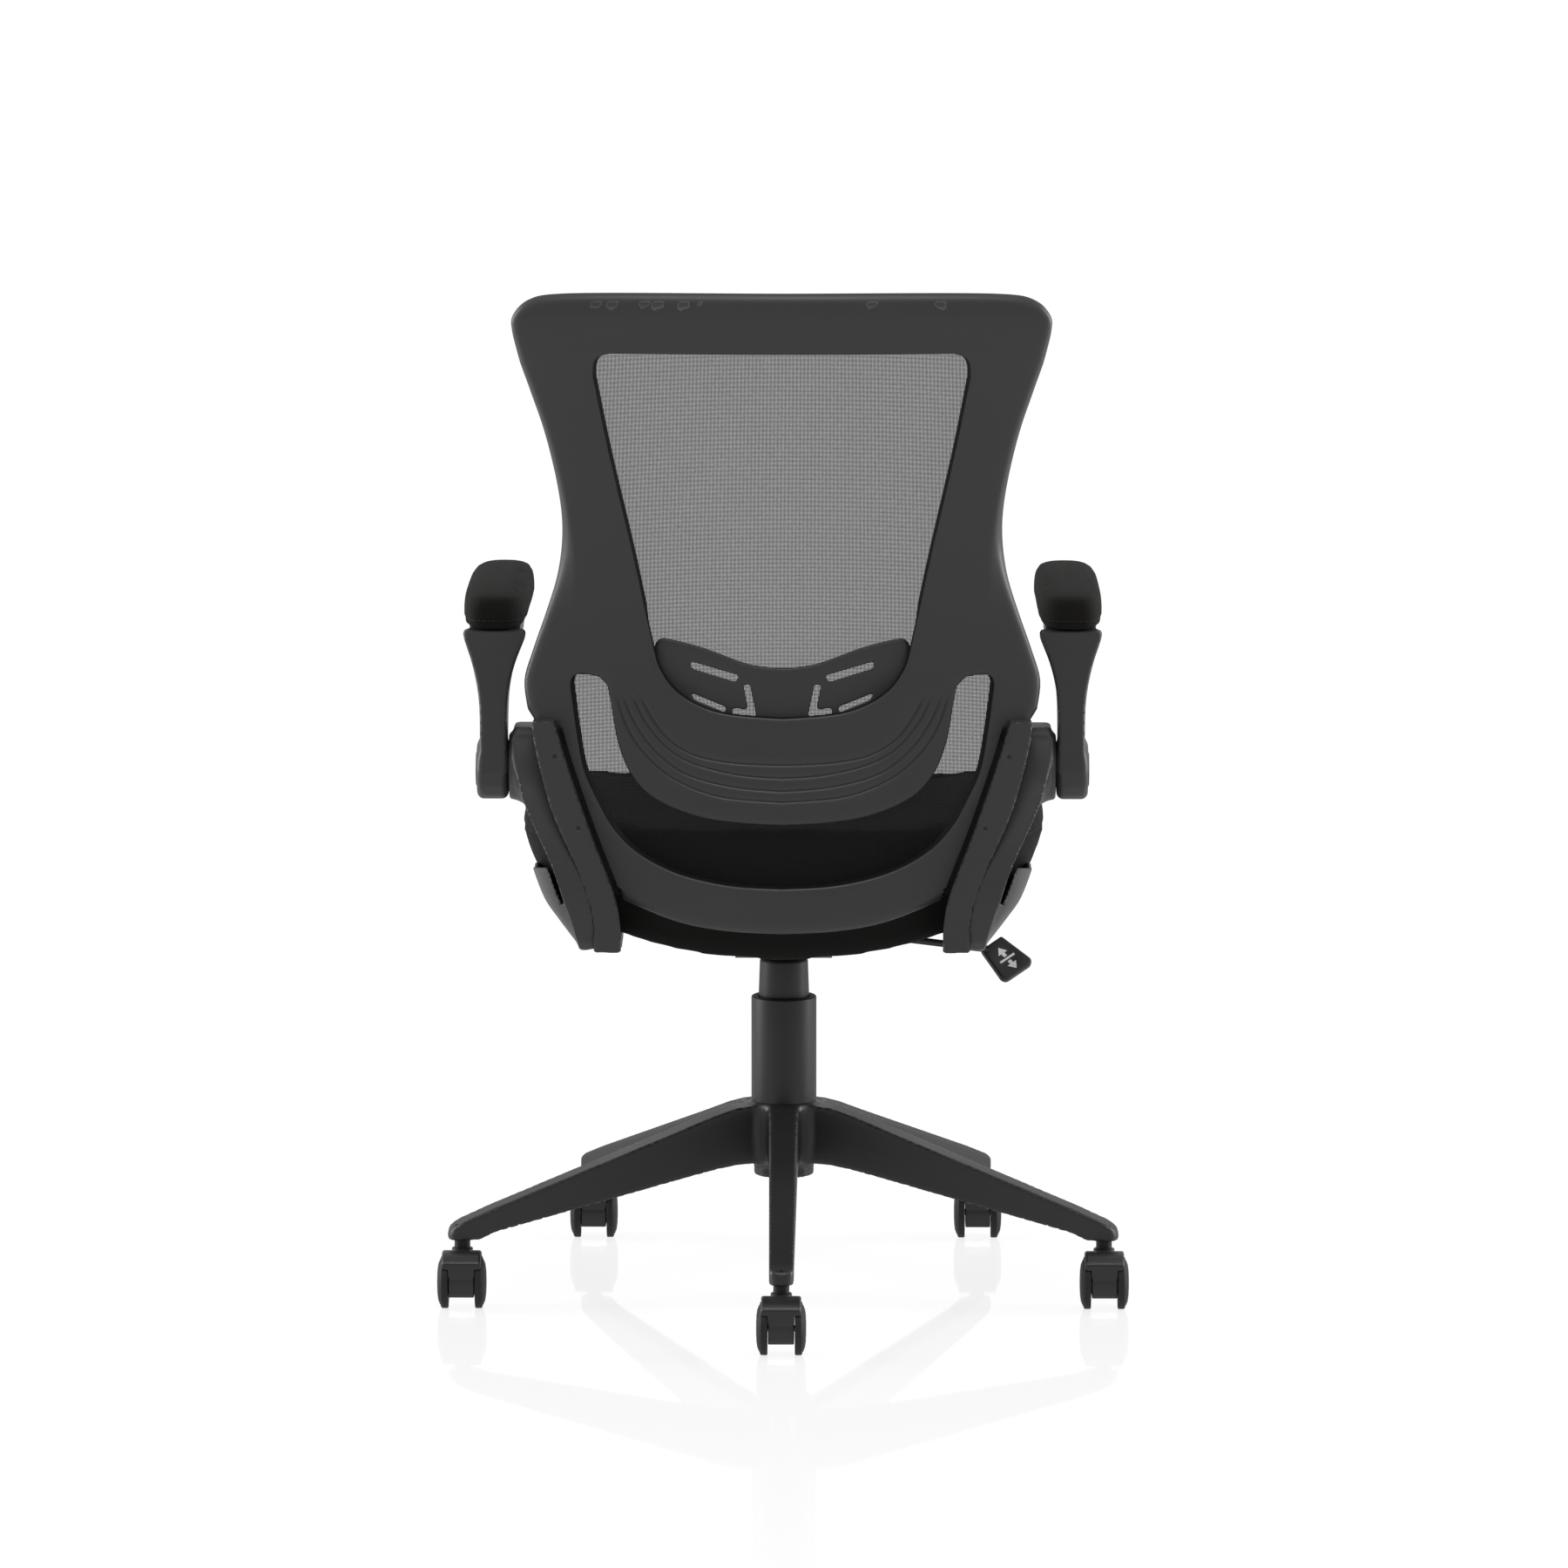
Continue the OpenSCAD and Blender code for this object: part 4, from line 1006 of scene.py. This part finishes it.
def wing(p):
    """Skin that wraps from the limb's rear face round to the cushion's flank: flat behind, then turning forwards."""
    x, y, z = p.T
    turn = np.clip((WING_REAR - y) / WING_TURN, 0, 1)
    outer = np.interp(z, wing_line[:, 1], wing_line[:, 0])
    inner = np.interp(z, shell_line[::-1, 1], shell_line[::-1, 0]) - 6
    face = inner + (outer - inner) * np.sqrt(1 - (1 - turn) ** 2)
    steep = (outer - inner) / WING_TURN * (1.02 - turn) / np.sqrt(1.02 - (1 - turn) ** 2)
    slope = np.hypot(np.hypot(1, np.minimum(steep, 8)), 0.55)
    sheet = np.abs(x - face + 1.6) / slope - 1.7
    top = z - (428 + WING_RISE * np.maximum(0, y - 150) - 0.17 * np.maximum(0, 120 - y))
    bottom = 353 + 0.14 * np.maximum(0, y - 150) - z
    ends = np.maximum.reduce([top, bottom, 20 - y, y - 246])
    return both(sheet, ends, 1.3)


def from_pivot(p):
    return np.hypot(p[:, 1] - PIVOT[0], p[:, 2] - PIVOT[1])


def bracket(p):
    """Foot under the seat board, limb, boss of the arm's pivot with its stop, and the wing with its ribs."""
    boss = sd_cylinder(p, 0, PIVOT, 226, 255, BOSS_R, 2.4)
    stop = both(outline_distance(p[:, 1:], stop_side), outline_distance(p[:, [0, 2]], stop_face), 1.6)
    limb = both(outline_distance(p[:, 1:], limb_side), outline_distance(p[:, [0, 2]], limb_face), 1.4)
    foot = np.minimum(sd_box(p, (152, -90, 351), (188, 90, 367), 2.5), prism(p, 0, foot_side, 175.5, 188, 2.5))
    skin = wing(p)
    ribs = np.min([both(both(skin - 3.4, slab(p[:, 1], y - 1, y + 1), 0.6), p[:, 2] - 392, 0.5)
                   for y in (40, 72, 104, 136)], axis=0)
    shape = smooth_min(smooth_min(boss, limb, 18), stop, 3)
    shape = smooth_min(smooth_min(shape, foot, 4), np.minimum(skin, ribs), 5)
    shape = np.maximum(shape, PIN_R - from_pivot(p))
    shape = np.maximum(shape, -sd_cylinder(p, 0, PIVOT, 205, 223.2, 8.5, 0.1))
    x, y, z = p.T
    beside = x - np.interp(z, shell_line[::-1, 1], shell_line[::-1, 0])
    slit = np.abs(beside - 2.8) - np.interp(z, [408, 436], [1.4, 2.6])
    slit = np.maximum.reduce([slit, 408 - z, z - 448, 215 - y])
    return bolt_holes(p, both(smooth_max(shape, -slit, 0.8), x - 255.6, 0.8))


def upright(p):
    """Blade behind the back frame, with a heel under the seat board and two sunk screw holes."""
    depth = back_depth(p)
    shape = both(outline_distance(p[:, [0, 2]], blade_face), slab(depth, -19.6, -0.3), 1.1)
    shape = smooth_min(shape, prism(p, 0, heel_side, 151, 173, 2.0), 3)
    for x, z, top in ((211, 545, 234), (189, 480, 248)):
        sink = sd_capsule(p, (x, top + 3.4, z), (x, top + 20, z), 4.0, 6.0)
        shape = smooth_max(shape, -sink, 1.2)
    return bolt_holes(p, shape)


def pair(sdf, low, high, pitch, name, node, body="seat", material=frame_plastic):
    """A left-hand piece from its distance function, and its mirror image."""
    for side, shape in both_sides(*sdf_mesh(sdf, low, high, pitch)):
        fitted(f"{name}_{side}", shape, material, body.format(side), f"{node}_{side}")


pair(bracket, (146, -94, 347), (260, 262, 572), 1.8, "bracket_shell", "arm_bracket")
pair(upright, (145, 86, 347), (236, 268, 580), 2.2, "upright_blade", "back_upright")

# ---------------------------------------------------------------- arms

arm_side = np.concatenate([
    smooth([(203, 525), (199, 560), (189, 600), (181, 640), (177, 655)], 4),
    [(-60, 659), (-66, 655), (-60, 649)],
    smooth([(30, 644), (85, 634), (121, 612), (141, 580), (149, 550), (147, 525)], 4)])
arm_face = np.concatenate([
    smooth([(282.5, 520), (282.4, 570), (284.1, 597), (289.6, 624), (297.2, 647), (300, 662)], 4),
    [(300, 675), (237, 675)],
    smooth([(237, 660), (241, 647), (249.3, 626), (254.8, 604), (256.9, 579), (257, 520)], 4)])


def arm(p):
    boss = sd_cylinder(p, 0, PIVOT, 256, 285.5, BOSS_R, 6.5)
    narrow = np.abs(p[:, 0] - 269.5) - 24 - 10 * step(p[:, 1], 150, 178)
    shape = both(outline_distance(p[:, 1:], arm_side), outline_distance(p[:, [0, 2]], arm_face), 3.6)
    shape = smooth_max(shape, narrow, 2)
    shape = smooth_min(boss, shape, 5)
    shape = smooth_max(shape, -sd_cylinder(p, 0, PIVOT, 283.6, 300, 16, 0.3), 0.6)
    return np.maximum(shape, PIN_R + 0.05 - from_pivot(p))


def arm_cap(p):
    """Round cover of the pivot, with a shallow dish and a rim."""
    plate = sd_cylinder(p, 0, PIVOT, 283.2, 286.6, 15.8, 0.9)
    return smooth_max(plate, -np.hypot(np.maximum(from_pivot(p) - 11, 0), p[:, 0] - 286.9) + 0.9, 0.5)


pair(arm, (240, -70, 493), (306, 207, 673), 2.4, "arm_moulding", "arm", "arm_{}")
pair(arm_cap, (282, 157, 507), (289.6, 193, 543), 0.9, "arm_cap", "arm_pivot_cap", "arm_{}", frame_inner)

# ---------------------------------------------------------------- base and castors

LEGS = 5
BASE_R = 320
leg_side = np.array([(10, 178), (24, 178), (50, 176), (74, 169), (110, 156), (200, 124.5), (290, 93), (320, 81.5),
                     (331, 75), (334.5, 68), (333, 63), (306, 63), (290, 69.5), (200, 89.5), (110, 109.5), (70, 118),
                     (50, 121), (24, 122), (10, 122)], float)
leg_hollow = np.array([(40, 60), (40, 166), (74, 162), (110, 150), (200, 119), (290, 88), (298, 80), (298, 60)], float)
tip = [(BASE_R + 3 + 11.5 * math.cos(t), 11.5 * math.sin(t)) for t in np.radians(range(-90, 91, 15))]
leg_plan = np.array(tip + [(80, 13.5), (8, 14.5), (8, -14.5), (80, -13.5)], float)
hollow_plan = np.array([(40, 8), (80, 9.6), (298, 7.4), (298, -7.4), (80, -9.6), (40, -8)], float)
hub_half = np.array([(-5, 108), (27, 108), (28.5, 109.5), (28.5, 118), (33, 122), (35, 150), (34, 176), (31, 180),
                     (-5, 180)], float)


def base(p):
    """Five legs, hollow underneath with webs across, a hub with the column's bore, and a stem hole in each tip."""
    x, y, z = p.T
    r, turn = np.hypot(x, y), np.arctan2(y, x) - math.pi / 2
    sector = 2 * math.pi / LEGS
    turn = (turn + sector / 2) % sector - sector / 2
    q = np.stack([r * np.cos(turn), r * np.sin(turn), z], 1)
    leg = both(outline_distance(q[:, [0, 2]], leg_side), outline_distance(q[:, :2], leg_plan), 2.4)
    hub = outline_distance(np.stack([r, z], 1), hub_half)
    shape = smooth_min(leg, hub, 5)
    hollow = np.maximum(outline_distance(q[:, [0, 2]], leg_hollow), outline_distance(q[:, :2], hollow_plan))
    webs = np.min([np.abs(q[:, 0] - x) - 1.1 for x in (90, 140, 190, 240)], axis=0)
    hollow = np.maximum(hollow, -np.maximum(webs, 66 + 0.16 * (320 - q[:, 0]) + 8 - z))
    shape = smooth_max(shape, -hollow, 1.5)
    bore = np.where(z < 170, 22 + (z - 110) / 60, 23)
    shape = np.maximum(shape, np.minimum(bore - r, z - 110))
    shape = np.maximum(shape, 19 - r)
    return np.maximum(shape, np.minimum(5.5 - np.hypot(q[:, 0] - BASE_R, q[:, 1]), 76 - z))


base_shape = sdf_mesh(base, (-340, -340, 60), (340, 340, 184), 2.5)
fitted("star_base_moulding", base_shape, base_plastic, "base", "star_base")

TRAIL, WHEEL_R = 18, 25


def hood(p):
    """Castor housing: a cover over the wheels, a web between them, and a neck with the stem's blind hole."""
    x, y, z = p.T
    axle, stem = np.hypot(y - TRAIL, z - WHEEL_R), np.hypot(x, y)
    cover = both(axle - 30, slab(x, -18.6, 18.6), 2.2)
    cover = both(cover, np.maximum(32 - z, y - TRAIL - 21.5), 1.0)
    web = both(both(axle - 22, slab(x, -12.2, 12.2), 1.2), 13 - z, 1.0)
    neck = both(stem - 10, slab(z, 26, 55), 1.2)
    shape = smooth_min(smooth_min(cover, web, 1.5), neck, 2.5)
    shape = smooth_max(shape, -np.maximum(axle - 26.2, 12.4 - np.abs(x)), 0.8)
    shape = np.maximum(shape, np.minimum(4.05 - stem, 29 - z))
    return np.maximum(shape, 3.05 - axle)


hood_verts, hood_faces = sdf_mesh(hood, (-22, -16, 10), (22, 45, 58), 1.1)
wheel_half = rounded([(3.1, 12.7), (24.2, 12.7), (25, 13.4), (25, 18.6), (23.4, 19.9), (22.6, 19.4), (21.4, 20.6),
                      (17.5, 22.2), (12, 23.0), (10.5, 22.4), (9, 22.4), (7.6, 23.2), (3.1, 23.2)],
                     [0, 0.6, 0.5, 1.2, 0.5, 0.3, 0.5, 3, 0.6, 0.3, 0.3, 0.5, 0], 3)
wheel_verts, wheel_faces = lathe(wheel_half, 64)
wheel_verts = wheel_verts[:, [2, 0, 1]] + [0, TRAIL, WHEEL_R]
for i in range(1, LEGS + 1):
    way = math.radians(90 + 360 / LEGS * (i - 1))
    at = [BASE_R * math.cos(way), BASE_R * math.sin(way), 0]
    fitted(f"castor_hood_{i}", (hood_verts + at, hood_faces), castor_plastic, f"castor_{i}", f"castor_housing_{i}")
    for side, (verts, faces) in both_sides(wheel_verts, wheel_faces):
        fitted(f"castor_tyre_{side}_{i}", (verts + at, faces), tread_rubber, f"castor_{i}_wheel_{side}",
               f"castor_wheel_{side}_{i}")

# ---------------------------------------------------------------- column, knob and lever

cover_half = rounded([(28.6, 180), (31.1, 180), (31.1, 281), (24.9, 281), (24.9, 278.5), (28.6, 278.5)],
                     [0.3, 0.8, 1.6, 0.4, 0, 0], 4)
fitted("column_cover_sleeve", lathe(cover_half), column_plastic, "base", "column_cover")
bush_half = rounded([(14.05, 240), (21.4, 240), (21.4, 281), (24.2, 281), (23.0, 315), (21.8, 317), (14.8, 317),
                     (14.05, 316.2)], [0, 0, 0.3, 0.8, 1.2, 0.8, 0.5, 0], 4)
fitted("column_bush_collar", lathe(bush_half), column_plastic, "base", "column_bush")

KNOB_Y = -78


def knob(p):
    x, y, z = p.T
    r, turn = np.hypot(x, y - KNOB_Y), np.arctan2(y - KNOB_Y, x)
    lobes = 18.4 + 1.5 * np.cos(12 * turn) * step(z, 286, 290)
    shape = both(r - lobes, slab(z, 286, 304), 1.6)
    shape = smooth_max(shape, -both(r - 15.5, 291 - z, 0.3), 0.4)
    return np.maximum(shape, 4.05 - r)


knob_shape = sdf_mesh(knob, (-23, KNOB_Y - 23, 284), (23, KNOB_Y + 23, 306), 1.1)
fitted("tension_knob_grip", knob_shape, lever_plastic, "tension_knob", "tension_knob")

paddle_axis, paddle_across = (
    np.array(v) / np.linalg.norm(v) for v in ((-0.648, 0.4, -0.648), (-0.74, -0.527, 0.417)))
paddle_frame = np.array([paddle_axis, paddle_across, np.cross(paddle_axis, paddle_across)])
PADDLE_AT = np.array([-193, 0, 329], float)
DISH_AT, DISH_R = (22, 8, 90), 90.8  # ball that hollows its upper face
paddle_plan = rounded([(0, -6.2), (40.5, -11.8), (40.5, 28.2), (0, 20)], [2.5, 6, 6, 2.5], 6)


def paddle(p):
    shape = both(outline_distance(p[:, :2], paddle_plan), slab(p[:, 2], -7, 0), 1.8)
    return smooth_max(shape, DISH_R - np.linalg.norm(p - DISH_AT, axis=1), 0.8)


def on_lever(verts, faces):
    """A shape from the paddle's own frame, put in its place."""
    return verts @ paddle_frame + PADDLE_AT, faces


paddle_shape = on_lever(*sdf_mesh(paddle, (-3, -16, -9), (44, 32, 2), 0.9))
fitted("lever_paddle_grip", paddle_shape, lever_plastic, "height_lever", "lever_paddle")


# ---------------------------------------------------------------- soft parts


def squircle(a, b, n, steps):
    """Superellipse outline of half-widths a and b."""
    t = np.linspace(0, 2 * math.pi, steps, endpoint=False)
    c, s = np.cos(t), np.sin(t)
    return np.stack([a * np.sign(c) * np.abs(c) ** (2 / n), b * np.sign(s) * np.abs(s) ** (2 / n)], 1)


def stacked(rings):
    """Closed surface through rings of equally many points, from the bottom up, with a point in the middle of each
    end."""
    n, last = len(rings[0]), len(rings) - 1
    verts = np.concatenate([*rings, [np.mean(rings[0], 0)], [np.mean(rings[-1], 0)]])
    turn = [(i, (i + 1) % n) for i in range(n)]
    faces = [[k * n + i, k * n + j, (k + 1) * n + j, (k + 1) * n + i] for k in range(last) for i, j in turn]
    for i, j in turn:
        faces += [[len(verts) - 2, j, i], [len(verts) - 1, last * n + i, last * n + j]]
    return verts, faces


def applied(piece):
    """Replaces a piece's mesh by what its modifiers make of it."""
    graph = bpy.context.evaluated_depsgraph_get()
    mesh = bpy.data.meshes.new_from_object(piece.evaluated_get(graph))
    mesh.name = piece.name
    piece.modifiers.clear()
    piece.data = mesh


def corners_of(mesh):
    out = np.empty(len(mesh.vertices) * 3)
    mesh.vertices.foreach_get("co", out)
    return out.reshape(-1, 3) / MM


def set_corners(mesh, verts):
    mesh.vertices.foreach_set("co", (np.asarray(verts) * MM).ravel())
    mesh.update()


CLOTH_SHOTS = 20


def puffed(piece, voxel, pressure, cap, free, limit=lambda verts: verts):
    """Blows a cover up over its filling with Blender's cloth solver. free gives how far each point may follow, from 0
    to 1, cap is the most it may move outwards and limit keeps it clear of its neighbours."""
    shell = piece.modifiers.new("shell", "REMESH")
    shell.mode = "VOXEL"
    shell.voxel_size = voxel * MM
    applied(piece)
    start = corners_of(piece.data)
    outwards = np.array([v.normal for v in piece.data.vertices])
    cloth = piece.modifiers.new("cloth", "CLOTH")
    cloth.settings.use_pressure = True
    cloth.settings.uniform_pressure_force = pressure
    cloth.settings.effector_weights.gravity = 0
    cloth.settings.quality = 4
    cloth.settings.tension_stiffness = 25
    cloth.settings.bending_stiffness = 1.5
    cloth.point_cache.frame_end = CLOTH_SHOTS
    scene = bpy.context.scene
    for shot in range(CLOTH_SHOTS):
        scene.frame_set(shot + 1)
    applied(piece)
    scene.frame_set(1)
    move = corners_of(piece.data) - start
    move -= outwards * np.minimum((move * outwards).sum(1), 0)[:, None]
    size = np.linalg.norm(move, axis=1)
    share = np.where(size > 0, cap * np.tanh(size / cap) / np.maximum(size, 1e-9), 0) * free(start)
    set_corners(piece.data, limit(start + move * share[:, None]))
    finer = piece.modifiers.new("finer", "SUBSURF")
    finer.levels = finer.render_levels = 1
    applied(piece)
    piece.data.shade_smooth()


def on_surface(piece, points, lift):
    """Nearest points of a piece's surface, in millimetres, raised by lift."""
    tree = bvhtree.BVHTree.FromPolygons([v.co.copy() for v in piece.data.vertices],
                                        [tuple(f.vertices) for f in piece.data.polygons])
    out = []
    for p in points:
        place, normal, _, _ = tree.find_nearest(Vector(p) * MM)
        out.append(np.array(place) / MM + lift * np.array(normal))
    return np.array(out)


def pinched(piece, line, depth, width):
    """Draws the cover in along a sewn line."""
    tree = kdtree.KDTree(len(line))
    for i, p in enumerate(line):
        tree.insert(p, i)
    tree.balance()
    verts = corners_of(piece.data)
    near = np.array([tree.find(v)[2] for v in verts])
    normals = np.array([v.normal for v in piece.data.vertices])
    set_corners(piece.data, verts - normals * (depth * np.exp(-((near / width) ** 2)))[:, None])


def even_steps(line, gap):
    """Points round a closed line in space."""
    line = np.asarray(line)
    loop = np.concatenate([line, line[:1]])
    run = np.concatenate([[0], np.cumsum(np.linalg.norm(np.diff(loop, axis=0), axis=1))])
    at = np.linspace(0, run[-1], max(int(run[-1] / gap), 8), endpoint=False)
    return np.stack([np.interp(at, run, loop[:, k]) for k in range(3)], 1)


def stitches(name, line, gap, length, radius, body, behind=1e9):
    """Row of short threads along a closed line on a cover, left out behind a given y."""
    line = even_steps(line, gap)
    line = line[line[:, 1] < behind]
    parts = []
    for p, ahead in zip(line, np.roll(line, -1, 0)):
        run = np.linalg.norm(ahead - p)
        if run <= 2 * gap:
            stitch = (ahead - p) / run * length
            parts.append(tube([p, p + stitch * 0.5, p + stitch], [radius * 0.5, radius, radius * 0.5], 5))
    return make(name, *join_meshes(parts), seam_thread, body, crease=0)


SEAT_Y = -20
BOARD_Z = 367
SEAT_INSET = 1.5  # room for the foam to press the cover out
SEAM_END = 185  # the seam's stitches stop at the back, which lies against the frame
# half-width, half-depth, height, squareness and share of the belly's hang, from the board up to the rim
seat_rings = [(160, 172, 366.7, 6, 0), (168, 181, 366.4, 6, 0.35), (174, 188, 366.4, 6, 0.85), (179, 193, 367.6, 6, 1),
              (186, 196, 368.2, 5.6, 1), (192, 198, 370, 5.4, 1), (203, 203, 376, 4.8, 1), (213, 208, 385.5, 4.2, 1),
              (223, 215, 400, 3.8, 1), (229, 221, 411, 3.6, 1), (235, 226, 422, 3.6, 1), (245, 235, 440, 3.6, 1),
              (248, 238, 456, 3.6, 1), (246, 236.5, 467, 3.6, 1), (238, 230, 474.5, 3.6, 1)]


def seat_top(x, y):
    high = 455 + 23 * (np.abs(x) / 240) ** 2.2 + 6 * np.maximum(0, (y - 60) / 160)
    return high - 26 * np.maximum(0, (-y - 120) / 140) ** 2


def seat_ring(a, b, z, n, hang, inset):
    p = squircle(a - inset, b - inset, n, 192)
    drop = 25 * hang * np.maximum(0, 1 - (p[:, 0] / 150) ** 2) * max(0, (422 - z) / (422 - BOARD_Z))
    front = (z - BOARD_Z) / 101 * 26 * (np.maximum(0, (-p[:, 1] - 140) / 120)) ** 2
    return np.stack([p[:, 0], p[:, 1] + SEAT_Y, z - drop - front], 1)


rings = [seat_ring(158 * s, 170 * s, 366.8, 5, 0, 0) for s in (0.3, 0.6, 0.85)]
rings += [seat_ring(a, b, z, n, hang, SEAT_INSET * step(z, 368, 400)) for a, b, z, n, hang in seat_rings]
for s in (0.955, 0.9, 0.82, 0.72, 0.6, 0.46, 0.32, 0.18, 0.06):
    p = squircle(238 - SEAT_INSET, 230 - SEAT_INSET, 3.6, 192) * s
    rings.append(np.stack([p[:, 0], p[:, 1] + SEAT_Y, seat_top(p[:, 0], p[:, 1] + SEAT_Y) + 2 * (1 - s**4) - 2], 1))
seat_cushion = make("seat_cushion_cover", *stacked(rings), seat_fabric, "seat", crease=0)
puffed(seat_cushion, 5, 4.0, 7, lambda v: step(v[:, 2], 372, 410),
       lambda v: np.stack([v[:, 0], np.minimum(v[:, 1], 218.5), v[:, 2]], 1))
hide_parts("seat_cushion")
seam_path = on_surface(seat_cushion, even_steps(seat_ring(248, 238, 452, 3.6, 1, 0) + [0, 0, 2], 4), 0)
pinched(seat_cushion, seam_path[seam_path[:, 1] < SEAM_END], 1.6, 2.6)
seam_path = on_surface(seat_cushion, seam_path + [0, 0, 3.4], 0.15)
seat_seam = stitches("seat_seam", seam_path, 5.2, 3.6, 0.42, "seat", behind=SEAM_END)


def underside_sheet():
    """Black non-woven cloth stapled under the board, cut out round the seat plate, sagging a little between its
    staples."""
    hole = np.array([(-94, -107), (94, -107), (94, 97), (-94, 97)], float)
    rims = [resample(squircle(149, 168, 5, 200) + [0, SEAT_Y], 4), resample(rounded(hole, 6, 4), 4)]
    points = np.array([(x, y) for x in np.arange(-150, 151, 5.0) for y in np.arange(-190, 151, 5.0)])
    points = points[between(points, rims) & (rim_distance(points, rims) > 2.5)]
    places, tri = filled(rims, points)
    rim = rim_distance(places, rims)
    x, y = places.T
    wave = np.sin(x * 0.13 + 1.7 * np.sin(y * 0.05)) * np.sin(y * 0.11)
    z = BOARD_Z - 1.4 - 0.9 * step(rim, 0, 16) + 0.45 * wave * step(rim, 2, 14)
    return np.stack([x, y, z], 1), tri[:, ::-1]


underside = fitted("underside_cover_cloth", underside_sheet(), underside_cloth, "seat", "seat_underside_cover",
                   0)

PAD_L, PAD_W = 262, 63
PAD_REAR = 180


def pad_base(y):
    """Height of the arm's top face, which the pad sits on."""
    t = np.clip((PIVOT[0] - y) / PAD_L, 0, 1)
    return 655.6 + 3 * t + 3.5 * np.sin(math.pi * t)


def pad_ring(scale, up, inset):
    p = squircle((PAD_W / 2 - inset) * scale, PAD_L / 2 - inset - 30 * (1 - scale), 4.4, 120)
    y = p[:, 1] + PAD_REAR - PAD_L / 2
    along = np.clip((PIVOT[0] - y) / PAD_L, 0, 1)
    return np.stack([p[:, 0] + 270 - 3.5 * along, y, pad_base(y) + up], 1)


pad_profile = [(0.3, 0.4), (0.6, 0.4), (0.9, 0.4), (0.955, 1.3), (0.985, 4), (1.0, 8.5), (1.0, 14.5), (0.985, 20.5),
               (0.95, 25.8), (0.88, 28.6), (0.75, 30.3), (0.55, 31.1), (0.3, 31.5), (0.1, 31.6)]
for side, (verts, faces) in both_sides(*stacked([pad_ring(scale, up, 1.2) for scale, up in pad_profile])):
    pad = make(f"arm_pad_cover_{side}", verts, faces, pad_fabric, f"arm_{side}", crease=0)
    puffed(pad, 4, 5.0, 4, lambda v: step(v[:, 2] - pad_base(v[:, 1]), 3, 10))
    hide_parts(f"arm_pad_{side}")
    seam = pad_ring(0.95, 6.5, 0) * [1 if side == "left" else -1, 1, 1]
    seam = on_surface(pad, even_steps(seam, 3), 0)
    pinched(pad, seam, 1.0, 2.0)
    thread = stitches(f"arm_pad_seam_{side}", on_surface(pad, seam + [0, 0, 2.6], 0.1), 4.4, 3.0, 0.35, f"arm_{side}")

# ---------------------------------------------------------------- mark on the lever


MARK_DEPTH, MARK_HEIGHT = 0.2, 0.12


def raised(points):
    """Flat raised shape on the paddle's dished face, in its own frame."""
    loop = anticlockwise(np.array(points, float))
    n = len(loop)
    x, y, z = DISH_AT
    dish = np.minimum(0, z - np.sqrt(DISH_R**2 - (loop[:, 0] - x) ** 2 - (loop[:, 1] - y) ** 2))
    low_ring, high_ring = np.column_stack([loop, dish - MARK_DEPTH]), np.column_stack([loop, dish + MARK_HEIGHT])
    faces = [list(range(n, 2 * n))] + [[i, (i + 1) % n, n + (i + 1) % n, n + i] for i in range(n)]
    return np.concatenate([low_ring, high_ring]), faces


head = [(8.5, 0), (15.5, 5.5), (15.5, 2), (19.5, 2), (19.5, -2), (15.5, -2), (15.5, -5.5)]
marks = [raised([(22 - way * (22 - x), 8 + y) for x, y in head]) for way in (1, -1)]
marks.append(raised([(20.9, -1), (23.1, -1), (23.1, 17), (20.9, 17)]))
lever_mark = make("lever_mark", *on_lever(*join_meshes(marks)), decal_white, "height_lever", crease=30)
